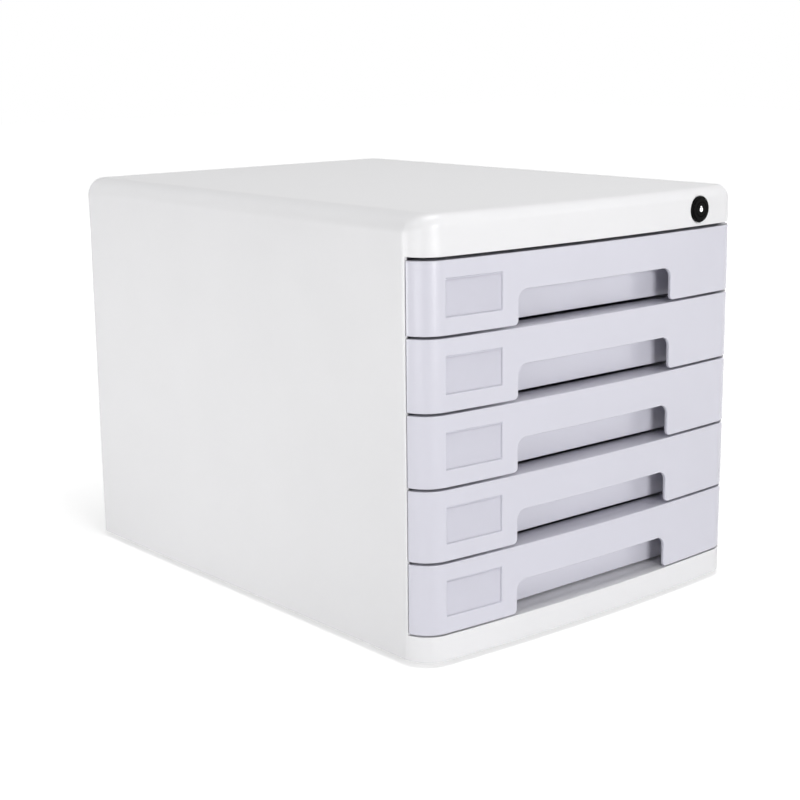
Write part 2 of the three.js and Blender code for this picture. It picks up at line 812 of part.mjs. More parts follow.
// The lever on the plug's tail, its pin in the fork of the locking bar.
function lockCam() {
  const pinX = lockX + camThrow * Math.cos(camRestAngle);
  const pinZ = lockZ + camThrow * Math.sin(camRestAngle);
  const eyeRadius = camPinRadius + fitGap;
  let cam = cylinderAlongY(lockX, lockZ, camHubRadius, camFrontY, camRearY);
  const lever = box(0, camThrow, camFrontY, camRearY, -eyeRadius, eyeRadius)
    .rotate([0, (-camRestAngle * 180) / Math.PI, 0])
    .translate([lockX, 0, lockZ]);
  cam = cam.add(lever);
  cam = cam.add(cylinderAlongY(pinX, pinZ, eyeRadius, camFrontY, camRearY, smallSides));
  cam = cam.add(cylinderAlongY(
    pinX, pinZ, camPinRadius, camFrontY + camThickness / 2, barFrontY + barArmThickness + camPinReach, smallSides,
  ));
  return cam.subtract(cylinderAlongY(
    lockX, lockZ, plugTailRadius + fitGap, camFrontY - overrun, camRearY + overrun, roundSides,
  ));
}

function lockCamScrew() {
  const seat = camRearY + fitGap;
  const geometry = turned([
    [0, camRearY - camScrewLength],
    [camScrewRadius, camRearY - camScrewLength],
    [camScrewRadius, seat],
    [camScrewHeadRadius, seat],
    [camScrewHeadRadius, seat + camScrewHeadHeight],
    [0, seat + camScrewHeadHeight],
  ], smallSides);
  geometry.translate(lockX, 0, lockZ);
  return solidOf(geometry);
}

const finishes = {
  casing: { color: 0xe6e6ea, roughness: 0.45, metalness: 0 },
  panel: { color: 0xdcdce0, roughness: 0.6, metalness: 0 },
  drawer: { color: 0xd6d5df, roughness: 0.4, metalness: 0 },
  rubber: { color: 0x2c2c2e, roughness: 0.9, metalness: 0 },
  steel: { color: 0xb4b6ba, roughness: 0.35, metalness: 1 },
  black: { color: 0x0c0c0d, roughness: 0.3, metalness: 0 },
  chrome: { color: 0xe8e8ea, roughness: 0.1, metalness: 1 },
  card: { color: 0xd2d2d8, roughness: 0.9, metalness: 0 },
  clear: { color: 0xe4e6ec, roughness: 0.15, metalness: 0 },
};

const cabinet = new THREE.Group();

// Hangs one named piece on a group, at a place in it.
function place(group, name, solid, finish, x = 0, y = 0, z = 0) {
  const mesh = new THREE.Mesh(geometryOf(solid), new THREE.MeshStandardMaterial(finishes[finish]));
  mesh.name = name;
  mesh.position.set(x, y, z);
  group.add(mesh);
  return mesh;
}

place(cabinet, 'outer_shell', outerShell(), 'casing');
place(cabinet, 'base_plate', basePlate(), 'panel');
place(cabinet, 'back_panel', backPanel(), 'panel');
place(cabinet, 'left_runner_panel', runnerPanel(-1), 'panel');
place(cabinet, 'right_runner_panel', runnerPanel(1), 'panel');

const footSolid = foot();
for (const [corner, [x, y]] of Object.entries(footPlaces())) {
  place(cabinet, `foot_${corner}`, footSolid, 'rubber', x, y, 0);
}
const screwSolid = screw();
for (const [corner, [x, y]] of Object.entries(baseScrewPlaces())) {
  place(cabinet, `base_screw_${corner}`, screwSolid, 'steel', x, y, casingBottom - fitGap);
}
for (const [corner, [x, z]] of Object.entries(backScrewPlaces())) {
  const mesh = place(cabinet, `back_screw_${corner}`, screwSolid, 'steel', x, backPanelRear + fitGap, z);
  mesh.rotation.x = Math.PI / 2;
}

const lock = new THREE.Group();
place(lock, 'lock_barrel', lockBarrel(), 'black');
place(lock, 'lock_plug', lockPlug(), 'black');
place(lock, 'lock_keyhole_plate', lockKeyholePlate(), 'chrome');
place(lock, 'lock_nut', lockNut(), 'steel');
place(lock, 'lock_cam', lockCam(), 'steel');
place(lock, 'lock_cam_screw', lockCamScrew(), 'steel');
place(lock, 'locking_bar', lockingBar(), 'steel');
cabinet.add(lock);

for (let drawer = 1; drawer <= drawerCount; drawer += 1) {
  const group = new THREE.Group();
  place(group, `drawer_${drawer}_tray`, tray(drawer), 'drawer');
  place(group, `drawer_${drawer}_front`, drawerFront(drawer), 'drawer');
  place(group, `drawer_${drawer}_label_card`, labelCard(drawer), 'card');
  place(group, `drawer_${drawer}_label_window`, labelCover(drawer), 'clear');
  place(group, `drawer_${drawer}_catch`, drawerCatch(drawer), 'steel');
  cabinet.add(group);
}

export default cabinet;
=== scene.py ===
"""A desktop drawer cabinet: the looks of its casing, drawers, labels, lock and feet.

Metres, +Z up. The front faces -Y and the lock is on the +X side. Each piece is built round the
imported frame, and keeps the place that the frame gives it.
"""
import logging
import math
from collections.abc import Callable, Iterator
from contextlib import contextmanager
from dataclasses import dataclass, replace
from enum import Enum

import bmesh
import bpy
from mathutils import Matrix, Vector


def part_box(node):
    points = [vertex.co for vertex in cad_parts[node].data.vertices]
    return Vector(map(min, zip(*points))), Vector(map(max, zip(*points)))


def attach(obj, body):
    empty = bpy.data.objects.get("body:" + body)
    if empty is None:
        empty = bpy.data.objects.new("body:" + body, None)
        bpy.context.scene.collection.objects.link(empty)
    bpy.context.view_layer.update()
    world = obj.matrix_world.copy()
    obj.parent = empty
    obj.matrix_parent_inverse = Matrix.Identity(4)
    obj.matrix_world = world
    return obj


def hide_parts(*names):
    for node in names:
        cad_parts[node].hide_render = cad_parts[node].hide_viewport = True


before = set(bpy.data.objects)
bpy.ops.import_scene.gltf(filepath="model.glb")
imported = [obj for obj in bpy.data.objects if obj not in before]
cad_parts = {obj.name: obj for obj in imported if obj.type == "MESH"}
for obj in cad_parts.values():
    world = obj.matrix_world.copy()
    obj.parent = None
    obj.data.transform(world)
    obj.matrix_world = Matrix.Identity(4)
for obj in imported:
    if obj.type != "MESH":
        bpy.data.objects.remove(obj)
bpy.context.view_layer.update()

TOUCH = 0.00002
WELD = 0.000001
OVERRUN = 0.001
FLAT = math.radians(0.02)
SHARP = math.radians(35)
CREASED = math.radians(60)
FACE_WEIGHT = 60
QUARTER = math.pi / 2

PATTERN_LOW, PATTERN_HIGH = 0.3, 0.7
BACKDROP_RAYS = ("Is Transmission Ray", "Is Glossy Ray")
FLOOR_CORNERS = ("front_left", "front_right", "rear_left", "rear_right")
BACK_CORNERS = ("lower_left", "lower_right", "upper_left", "upper_right")

logger = logging.getLogger("drawer_cabinet")

WHITE = (1, 1, 1, 1)

Colour = tuple[float, float, float]
Triple = tuple[float, float, float]
Span = tuple[float, float]


class Element(Enum):
    """What a selection is made of."""

    EDGES = "EDGE"
    FACES = "FACE"


def centre_of(node: str) -> Vector:
    """Give the middle of a node's box."""
    return sum(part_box(node), Vector()) / 2


def take_up(shape: bpy.types.Object) -> None:
    """Make one object the only selected one, and the active one.

    Args:
        shape: The object.
    """
    bpy.ops.object.select_all(action="DESELECT")
    shape.select_set(True)
    bpy.context.view_layer.objects.active = shape


def near(value: float, target: float) -> bool:
    """Say whether two lengths are the same to two hundredths of a millimetre."""
    return abs(value - target) < TOUCH


def lies_at(element: bmesh.types.BMEdge | bmesh.types.BMFace, **places: float) -> bool:
    """Say whether every corner of an edge or face has the x, y or z that is given.

    Args:
        element: The edge or face.
        **places: The place on each axis that is asked for.

    Returns:
        Whether every corner lies there.
    """
    return all(
        near(getattr(corner.co, axis), place)
        for corner in element.verts
        for axis, place in places.items()
    )


def middle(element: bmesh.types.BMEdge | bmesh.types.BMFace) -> Vector:
    """Give the mean place of an element's corners."""
    return sum((corner.co for corner in element.verts), Vector()) / len(element.verts)


class Workpiece:
    """One mesh on the bench, shaped with the operators that a modeller uses by hand."""

    def __init__(self, name: str) -> None:
        """Take up the primitive that was just added.

        Args:
            name: The name that the piece gets.
        """
        self.shape = bpy.context.active_object
        self.shape.name = name
        self.shape.data.name = name
        take_up(self.shape)
        bpy.ops.object.transform_apply(location=True, rotation=True, scale=True)

    @classmethod
    def block(cls, name: str, low: Triple, high: Triple) -> "Workpiece":
        """Add a block.

        Args:
            name: The name of the block.
            low: Its lowest corner.
            high: Its highest corner.

        Returns:
            The block as a workpiece.
        """
        start, end = Vector(low), Vector(high)
        bpy.ops.object.select_all(action="DESELECT")
        bpy.ops.mesh.primitive_cube_add(size=1, location=(start + end) / 2)
        bpy.context.active_object.scale = end - start
        return cls(name)

    @classmethod
    def rod(cls, name: str, radius: float, start: Triple, end: Triple, sides: int = 64) -> "Workpiece":
        """Add a round rod between two points.

        Args:
            name: The name of the rod.
            radius: Its radius.
            start: The middle of its first end.
            end: The middle of its other end.
            sides: How many faces go round it.

        Returns:
            The rod as a workpiece.
        """
        first, last = Vector(start), Vector(end)
        run = last - first
        bpy.ops.object.select_all(action="DESELECT")
        bpy.ops.mesh.primitive_cylinder_add(
            vertices=sides,
            radius=radius,
            depth=run.length,
            location=(first + last) / 2,
            rotation=run.to_track_quat("Z", "Y").to_euler(),
        )
        return cls(name)

    @classmethod
    def copy_of_node(cls, node: str, name: str) -> "Workpiece":
        """Copy a node of the frame and merge its loose triangles into faces.

        Args:
            node: The node of the frame.
            name: The name of the copy.

        Returns:
            The merged copy as a workpiece.
        """
        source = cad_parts[node]
        shape = bpy.data.objects.new(name, source.data.copy())
        shape.data.materials.clear()
        bpy.context.scene.collection.objects.link(shape)
        take_up(shape)
        piece = cls(name)
        piece.clean()
        return piece

    @contextmanager
    def editing(self) -> Iterator[None]:
        """Hold the piece in edit mode with nothing selected.

        Yields:
            Nothing, while the mesh is open for editing.
        """
        take_up(self.shape)
        bpy.ops.object.mode_set(mode="EDIT")
        bpy.ops.mesh.select_all(action="DESELECT")
        yield
        bpy.ops.object.mode_set(mode="OBJECT")

    def pick(self, kind: Element, wanted: Callable[..., bool]) -> int:
        """Select what passes a test, in edit mode.

        Args:
            kind: Whether edges or faces are picked.
            wanted: The test that an element has to pass.

        Returns:
            How many were picked.
        """
        bpy.ops.mesh.select_mode(type=kind.value)
        bpy.ops.mesh.select_all(action="DESELECT")
        mesh = bmesh.from_edit_mesh(self.shape.data)
        elements = {Element.EDGES: mesh.edges, Element.FACES: mesh.faces}[kind]
        found = [element for element in elements if wanted(element)]
        for element in found:
            element.select_set(True)
        bmesh.update_edit_mesh(self.shape.data)
        return len(found)

    def slice_at(self, point: Triple, normal: Triple, **keep: bool) -> None:
        """Cut the picked faces along a plane, in edit mode.

        Args:
            point: A point on the plane.
            normal: The plane's direction.
            **keep: Which side is cleared and whether the cut is filled, as bisect names them.
        """
        bpy.ops.mesh.bisect(plane_co=point, plane_no=normal, threshold=WELD, **keep)

    def draw_out(self, x: float = 0, y: float = 0, z: float = 0) -> None:
        """Extrude what is picked by a step along the axes, in edit mode."""
        bpy.ops.mesh.extrude_region_move(TRANSFORM_OT_translate={"value": (x, y, z)})

    def round_edges(self, wanted: Callable[..., bool], radius: float, steps: int) -> None:
        """Round the edges that pass a test.

        Args:
            wanted: The test that an edge has to pass.
            radius: The radius of the rounding.
            steps: How many faces make it up.
        """
        with self.editing():
            if self.pick(Element.EDGES, wanted):
                bpy.ops.mesh.bevel(offset=radius, segments=steps, affect="EDGES", clamp_overlap=False)

    def apply(self, kind: str, **settings: object) -> None:
        """Add a modifier and apply it.

        Args:
            kind: The modifier's type.
            **settings: Its settings by name.
        """
        take_up(self.shape)
        modifier = self.shape.modifiers.new(kind.title(), kind)
        for key, value in settings.items():
            setattr(modifier, key, value)
        bpy.ops.object.modifier_apply(modifier=modifier.name)

    def thicken(self, wall: float) -> None:
        """Give a shell a wall of even thickness on its inner side."""
        self.apply("SOLIDIFY", thickness=wall, offset=-1, use_even_offset=True)

    def cut(self, *tools: "Workpiece") -> None:
        """Cut the space of other pieces out of this one, and clear them away."""
        for tool in tools:
            self._combine(tool, "DIFFERENCE")

    def join(self, *others: "Workpiece") -> None:
        """Join other pieces to this one, as one moulding."""
        for other in others:
            self._combine(other, "UNION")

    def _combine(self, other: "Workpiece", operation: str) -> None:
        """Combine this piece with another by a boolean operation.

        Args:
            other: The piece that is used up.
            operation: The operation, as the modifier names it.
        """
        self.apply("BOOLEAN", operation=operation, object=other.shape, solver="EXACT")
        bpy.data.objects.remove(other.shape)

    def weld(self) -> None:
        """Merge the corners that lie at the same place."""
        with self.editing():
            bpy.ops.mesh.select_all(action="SELECT")
            bpy.ops.mesh.remove_doubles(threshold=WELD)

    def clean(self) -> None:
        """Merge doubles and take out the edges that cross flat faces."""
        with self.editing():
            bpy.ops.mesh.select_all(action="SELECT")
            bpy.ops.mesh.remove_doubles(threshold=WELD)
            bpy.ops.mesh.dissolve_limited(angle_limit=FLAT)

    def soften(self, radius: float, steps: int = 2) -> None:
        """Break every sharp edge, as a mould or a press leaves it, and shade the piece smooth.

        Args:
            radius: The radius of the broken edges.
            steps: How many faces make it up.
        """
        self.clean()
        self.apply(
            "BEVEL",
            width=radius,
            segments=steps,
            limit_method="ANGLE",
            angle_limit=SHARP,
            use_clamp_overlap=False,
        )
        self.weld()
        self.shade()

    def shade(self) -> None:
        """Shade the piece smooth, with its flat faces flat."""
        take_up(self.shape)
        bpy.ops.object.shade_smooth_by_angle(angle=CREASED)
        self.apply("WEIGHTED_NORMAL", keep_sharp=True, weight=FACE_WEIGHT)

    def copy(self, name: str, move: Matrix) -> "Workpiece":
        """Copy the piece with a mesh of its own.

        Args:
            name: The copy's name.
            move: How the copy is moved or turned.

        Returns:
            The copy as a workpiece.
        """
        shape = self.shape.copy()
        shape.data = self.shape.data.copy()
        bpy.context.scene.collection.objects.link(shape)
        take_up(shape)
        shape.matrix_world = move
        bpy.context.view_layer.update()
        return Workpiece(name)


class WallStrip(Workpiece):
    """An upright wall that is drawn in plan, one stretch after another."""

    def __init__(
        self, name: str, start: tuple[float, float], end: tuple[float, float], low: float, high: float
    ) -> None:
        """Draw the first stretch.

        Args:
            name: The name of the wall.
            start: Where it starts in plan.
            end: Where its first stretch ends.
            low: The height of its lower edge.
            high: The height of its upper edge.
        """
        self.start, self.end = Vector(start), Vector(end)
        run = self.end - self.start
        centre = (self.start + self.end) / 2
        bpy.ops.object.select_all(action="DESELECT")
        bpy.ops.mesh.primitive_plane_add(
            size=1,
            location=(centre.x, centre.y, (low + high) / 2),
            rotation=(QUARTER, 0, math.atan2(run.y, run.x)),
        )
        bpy.context.active_object.scale = (run.length, high - low, 1)
        super().__init__(name)

    def _pick_end(self) -> None:
        """Select the upright edge where the wall ends so far."""
        self.pick(Element.EDGES, lambda edge: lies_at(edge, x=self.end.x, y=self.end.y))

    def run_to(self, x: float, y: float) -> None:
        """Draw the wall on in a straight line.

        Args:
            x: Where it goes across.
            y: Where it goes in depth.
        """
        step = Vector((x, y)) - self.end
        with self.editing():
            self._pick_end()
            self.draw_out(step.x, step.y)
        self.end = Vector((x, y))

    def turn(self, x: float, y: float, angle: float, steps: int) -> None:
        """Draw the wall on round an arc.

        Args:
            x: The arc's centre across.
            y: The arc's centre in depth.
            angle: How far it turns, to the left as it goes.
            steps: How many faces make up the arc.
        """
        with self.editing():
            self._pick_end()
            bpy.ops.mesh.spin(steps=steps, angle=-angle, center=(x, y, 0), axis=(0, 0, 1))
        centre = Vector((x, y))
        self.end = centre + Matrix.Rotation(angle, 2) @ (self.end - centre)

    def close(self) -> None:
        """Bring the wall back to where it starts."""
        if (self.end - self.start).length > TOUCH:
            self.run_to(*self.start)
        self.weld()

    def cap(self, *heights: float) -> None:
        """Close the wall with flat faces.

        Args:
            *heights: The heights of the faces.
        """
        for height in heights:
            with self.editing():
                self.pick(Element.EDGES, lambda edge: lies_at(edge, z=height))
                bpy.ops.mesh.edge_face_add()
        self.face_outwards()

    def face_outwards(self) -> None:
        """Turn every face outwards, told by the one that lies furthest forward."""
        with self.editing():
            bpy.ops.mesh.select_all(action="SELECT")
            bpy.ops.mesh.normals_make_consistent(inside=False)
            mesh = bmesh.from_edit_mesh(self.shape.data)
            foremost = min(mesh.faces, key=lambda face: middle(face).y)
            if foremost.normal.y > 0:
                bpy.ops.mesh.flip_normals()


@dataclass(frozen=True)
class BowedPlan:
    """The outline of the casing in plan: straight sides, round corners and a bowed front."""

    half_width: float
    bow_radius: float
    bow_centre: float
    corner_radius: float
    bow_steps: int = 24
    corner_steps: int = 16

    @classmethod
    def from_frame(cls, bow: float = 0.0058, corner_radius: float = 0.0178) -> "BowedPlan":
        """Take the outline from the casing in the frame.

        Args:
            bow: How far the middle of the front stands out.
            corner_radius: The radius of the front corners.

        Returns:
            The outline.
        """
        low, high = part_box("outer_shell")
        radius = (high.x**2 + bow**2) / (2 * bow)
        return cls(high.x, radius, low.y + radius, corner_radius)

    @property
    def corner_x(self) -> float:
        """Give the place across of the right-hand corner's centre."""
        return self.half_width - self.corner_radius

    @property
    def bow_end(self) -> float:
        """Give the angle at which the bow meets the corner."""
        return math.asin(self.corner_x / (self.bow_radius - self.corner_radius))

    @property
    def corner_y(self) -> float:
        """Give the place in depth of the corners' centres."""
        return self.bow_centre - math.sqrt((self.bow_radius - self.corner_radius) ** 2 - self.corner_x**2)

    def surface(self, x: float) -> float:
        """Give the place in depth of the bowed front, at a place across."""
        return self.bow_centre - math.sqrt(self.bow_radius**2 - x**2)

    def inset(self, amount: float) -> "BowedPlan":
        """Give the same outline with every wall moved in alike.

        Args:
            amount: How far the walls move in.

        Returns:
            The smaller outline.
        """
        return replace(
            self,
            half_width=self.half_width - amount,
            bow_radius=self.bow_radius - amount,
            corner_radius=self.corner_radius - amount,
        )

    def draw(self, name: str, low: float, high: float, back: float) -> WallStrip:
        """Draw the outline as a wall that is open at the back.

        Args:
            name: The name of the wall.
            low: The height of its lower edge.
            high: The height of its upper edge.
            back: Where its sides end in depth.

        Returns:
            The wall.
        """
        side, corner_x, corner_y = self.half_width, self.corner_x, self.corner_y
        sweep = QUARTER - self.bow_end
        wall = WallStrip(name, (-side, back), (-side, corner_y), low, high)
        wall.turn(-corner_x, corner_y, sweep, self.corner_steps)
        wall.turn(0, self.bow_centre, 2 * self.bow_end, self.bow_steps)
        wall.turn(corner_x, corner_y, sweep, self.corner_steps)
        wall.run_to(side, back)
        wall.face_outwards()
        return wall

    def slab(self, name: str, low: float, high: float, back: float) -> WallStrip:
        """Draw the outline as a solid slab.

        Args:
            name: The name of the slab.
            low: The height of its underside.
            high: The height of its top.
            back: Where it ends in depth.

        Returns:
            The slab.
        """
        wall = self.draw(name, low, high, back)
        wall.close()
        wall.cap(low, high)
        return wall


@dataclass(frozen=True)
class Grain:
    """A noise pattern: the size of its features, its finer layers and how it is squeezed."""

    size: float
    detail: float
    stretch: Triple = (1, 1, 1)


class NodeBench:
    """A material's node tree, with short ways to add nodes and join them."""

    def __init__(self, name: str) -> None:
        """Start an empty material.

        Args:
            name: The material's name.
        """
        self.material = bpy.data.materials.new(name)
        self.material.use_nodes = True
        self.tree = self.material.node_tree
        self.tree.nodes.clear()

    def add(self, kind: str, inputs: dict[str, object] | None = None, **settings: object) -> bpy.types.Node:
        """Add a node.

        Args:
            kind: The node's type, without the words that every type starts with.
            inputs: A value or a socket for each input, by name.
            **settings: The node's own settings.

        Returns:
            The node.
        """
        node = self.tree.nodes.new("ShaderNode" + kind)
        for key, value in settings.items():
            setattr(node, key, value)
        for key, value in (inputs or {}).items():
            if isinstance(value, bpy.types.NodeSocket):
                self.tree.links.new(value, node.inputs[key])
            else:
                node.inputs[key].default_value = value
        return node

    def noise(self, grain: Grain) -> object:
        """Add a noise pattern fixed to the object.

        Args:
            grain: The pattern.

        Returns:
            The socket that gives its strength from 0 to 1.
        """
        place = self.add("TexCoord").outputs["Object"]
        mapped = self.add("Mapping", {"Vector": place, "Scale": grain.stretch}).outputs["Vector"]
        inputs = {"Vector": mapped, "Scale": 1 / grain.size, "Detail": grain.detail}
        return self.add("TexNoise", inputs).outputs["Fac"]

    def spread(self, pattern: object, low: float, high: float) -> object:
        """Spread a pattern's usual range over other values.

        Args:
            pattern: The socket of the pattern.
            low: The value at its dark places.
            high: The value at its bright places.

        Returns:
            The socket of the spread pattern.
        """
        node = self.add("MapRange", {
            "Value": pattern,
            "From Min": PATTERN_LOW,
            "From Max": PATTERN_HIGH,
            "To Min": low,
            "To Max": high,
        })
        return node.outputs["Result"]

    def tint(self, pattern: object, dark: Colour, light: Colour) -> object:
        """Colour a pattern between two colours.

        Args:
            pattern: The socket of the pattern.
            dark: The colour at its dark places.
            light: The colour at its bright places.

        Returns:
            The socket of the colour.
        """
        node = self.add("ValToRGB", {"Fac": pattern})
        first, last = node.color_ramp.elements
        first.position, last.position = PATTERN_LOW, PATTERN_HIGH
        first.color, last.color = (*dark, 1), (*light, 1)
        return node.outputs["Color"]

    def bump(self, pattern: object, depth: float, strength: float) -> object:
        """Raise a pattern as relief.

        Args:
            pattern: The socket of the pattern.
            depth: The height of the relief in metres.
            strength: How strongly it shows.

        Returns:
            The socket of the normals.
        """
        inputs = {"Height": pattern, "Distance": depth, "Strength": strength}
        return self.add("Bump", inputs).outputs["Normal"]

    def surface(self, inputs: dict[str, object]) -> bpy.types.Material:
        """Finish the material as one surface.

        Args:
            inputs: A value or a socket for each of the surface's inputs, by name.

        Returns:
            The material.
        """
        shader = self.add("BsdfPrincipled", inputs)
        self.add("OutputMaterial", {"Surface": shader.outputs["BSDF"]})
        return self.material


def shaded(colour: Colour, share: float) -> Colour:
    """Give a share of a colour."""
    return tuple(part * share for part in colour)


@dataclass(frozen=True)
class Surface:
    """A surface whose colour and gloss wander a little with its tone, over a fine relief."""

    name: str
    colour: Colour
    roughness: Span
    tone: Grain
    shades: Span
    relief: Grain | None = None
    relief_depth: float = 0.00002
    relief_strength: float = 0.1
    metallic: float = 0.0
    specular: float = 0.5
    alpha: float = 1.0

    def make(self) -> bpy.types.Material:
        """Make the material.

        Returns:
            The material.
        """
        bench = NodeBench(self.name)
        tone = bench.noise(self.tone)
        dark, light = (shaded(self.colour, share) for share in self.shades)
        inputs = {
            "Base Color": bench.tint(tone, dark, light),
            "Roughness": bench.spread(tone, *self.roughness),
            "Metallic": self.metallic,
            "Specular IOR Level": self.specular,
            "Alpha": self.alpha,
        }
        if self.relief:
            relief = bench.noise(self.relief)
            inputs["Normal"] = bench.bump(relief, self.relief_depth, self.relief_strength)
        return bench.surface(inputs)


@dataclass(frozen=True)
class MouldedPlastic(Surface):
    """Satin moulded plastic, with a fine grain, faint cloudiness and slightly uneven gloss."""

    tone: Grain = Grain(0.045, 3)
    shades: Span = (0.985, 1)
    relief: Grain = Grain(0.0004, 2)
    relief_strength: float = 0.12


@dataclass(frozen=True)
class Lacquer(Surface):
    """A die casting under glossy lacquer, with a faint orange-peel relief and some dust."""

    tone: Grain = Grain(0.0048, 3)
    shades: Span = (1, 1.6)
    relief: Grain = Grain(0.0012, 1)
    specular: float = 0.02


@dataclass(frozen=True)
class PlatedMetal(Surface):
    """Plated steel, with fine drawn lines along one axis and a patchy gloss."""

    tone: Grain = Grain(0.006, 3)
    shades: Span = (0.9, 1)
    relief: Grain = Grain(0.0003, 2, (1, 1, 0.03))
    relief_strength: float = 0.15
    metallic: float = 1.0


@dataclass(frozen=True)
class Rubber(Surface):
    """Matt black rubber with a pebbled skin."""

    tone: Grain = Grain(0.0007, 2)
    shades: Span = (0.8, 1)
    relief: Grain = Grain(0.0007, 2)
    relief_depth: float = 0.00008
    relief_strength: float = 0.4


@dataclass(frozen=True)
class LabelPaper(Surface):
    """Blank card stock, with its fibres lying along it."""

    tone: Grain = Grain(0.0005, 4, (0.3, 1, 1))
    shades: Span = (0.97, 1)
    relief: Grain = Grain(0.0005, 4, (0.3, 1, 1))
    relief_depth: float = 0.00003
    relief_strength: float = 0.2


@dataclass(frozen=True)
class ClearPlastic(Surface):
    """A thin clear cover, nearly see-through, with a hard gloss and no relief."""

    tone: Grain = Grain(0.004, 4)
    shades: Span = (0.99, 1)
    alpha: float = 0.05


class Finish(Enum):
    """The finishes of the cabinet, by the slot that each one dresses."""

    CASING = "casing_plastic"
    INNER = "inner_plastic"
    DRAWER = "drawer_plastic"
    PAPER = "label_paper"
    CLEAR = "clear_plastic"
    BLACK = "lock_black"
    CHROME = "chrome_plate"
    STEEL = "zinc_steel"
    RUBBER = "foot_rubber"


class FinishShelf:
    """All the materials of the cabinet, each made once."""

    def __init__(self) -> None:
        """Make every finish."""
        recipes = {
            Finish.CASING: MouldedPlastic("casing_plastic", (0.822, 0.82, 0.832), (0.34, 0.38)),
            Finish.INNER: MouldedPlastic("inner_plastic", (0.8, 0.8, 0.81), (0.48, 0.52)),
            Finish.DRAWER: MouldedPlastic("drawer_plastic", (0.665, 0.66, 0.734), (0.2, 0.24)),
            Finish.PAPER: LabelPaper("label_paper", (0.655, 0.65, 0.725), (0.75, 0.9)),
            Finish.CLEAR: ClearPlastic("clear_plastic", (0.7, 0.69, 0.76), (0.1, 0.16)),
            Finish.BLACK: Lacquer("lock_black", (0.004, 0.004, 0.004), (0.144, 0.216)),
            Finish.CHROME: PlatedMetal(
                "chrome_plate", (0.86, 0.86, 0.87), (0.096, 0.15), relief_strength=0.03
            ),
            Finish.STEEL: PlatedMetal("zinc_steel", (0.6, 0.61, 0.63), (0.24, 0.375)),
            Finish.RUBBER: Rubber("foot_rubber", (0.03, 0.03, 0.032), (0.8, 0.9)),
        }
        self.materials = {finish: recipe.make() for finish, recipe in recipes.items()}

    def dress(self, piece: Workpiece, finish: Finish, body: str, *nodes: str) -> None:
        """Give a finished piece its material, and hang it on the frame.

        Args:
            piece: The finished piece.
            finish: Its finish.
            body: The body of the frame that it rides on.
            *nodes: The nodes of the frame that it stands for.
        """
        shape = piece.shape
        shape.data.materials.clear()
        shape.data.materials.append(self.materials[finish])
        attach(shape, body)
        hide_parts(*nodes)
        logger.info("%s: %d faces on %s", shape.name, len(shape.data.polygons), body)


@dataclass(frozen=True)
class Foot:
    """A rubber foot: a round pad with a dished underside, and a peg that holds it."""

    pad_gap: float = 0.0003
    edge_round: float = 0.0008
    edge_steps: int = 4
    peg_radius: float = 0.0022
    dish_rim: float = 0.0035
    dish_depth: float = 0.0006
    soft_edge: float = 0.00025

    def build(self) -> Workpiece:
        """Build the front left foot.

        Returns:
            The foot.
        """
        low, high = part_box("foot_front_left")
        x, y, _ = centre_of("foot_front_left")
        radius = (high.x - low.x) / 2
        pad_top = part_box("outer_shell")[0].z - self.pad_gap
        foot = Workpiece.rod("rubber_foot", radius, (x, y, low.z), (x, y, pad_top))
        foot.round_edges(lambda edge: lies_at(edge, z=low.z), self.edge_round, self.edge_steps)
        with foot.editing():
            foot.pick(Element.FACES, lambda face: lies_at(face, z=pad_top))
            bpy.ops.mesh.inset(thickness=radius - self.peg_radius)
            foot.draw_out(z=high.z - pad_top)
            foot.pick(Element.FACES, lambda face: lies_at(face, z=low.z))
            bpy.ops.mesh.inset(thickness=self.dish_rim)
            foot.draw_out(z=self.dish_depth)
        foot.soften(self.soft_edge)
        return foot


@dataclass(frozen=True)
class PanScrew:
    """A pan-head screw with a cross recess in its head."""

    sides: int = 48
    head_height: float = 0.0017
    head_round: float = 0.0009
    head_steps: int = 5
    shank_radius: float = 0.0013
    tip_length: float = 0.0013
    tip_share: float = 0.15
    slot_reach: float = 0.0017
    slot_half: float = 0.0003
    slot_depth: float = 0.0009
    soft_edge: float = 0.00008

    def build(self) -> Workpiece:
        """Build one screw at the origin, its head down and its shank up.

        Returns:
            The screw.
        """
        low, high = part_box("base_screw_front_left")
        length = high.z - low.z
        head_radius = (high.x - low.x) / 2
        screw = Workpiece.rod("screw", head_radius, (0, 0, 0), (0, 0, self.head_height), self.sides)
        screw.round_edges(lambda edge: lies_at(edge, z=0), self.head_round, self.head_steps)
        with screw.editing():
            screw.pick(Element.FACES, lambda face: lies_at(face, z=self.head_height))
            bpy.ops.mesh.inset(thickness=head_radius - self.shank_radius)
            screw.draw_out(z=length - self.head_height - self.tip_length)
            screw.draw_out(z=self.tip_length)
            bpy.ops.transform.resize(
                value=(self.tip_share, self.tip_share, 1), center_override=(0, 0, length)
            )
        for reach_x, reach_y in ((self.slot_reach, self.slot_half), (self.slot_half, self.slot_reach)):
            screw.cut(Workpiece.block(
                "recess", (-reach_x, -reach_y, -OVERRUN), (reach_x, reach_y, self.slot_depth)
            ))
        screw.soften(self.soft_edge)
        return screw


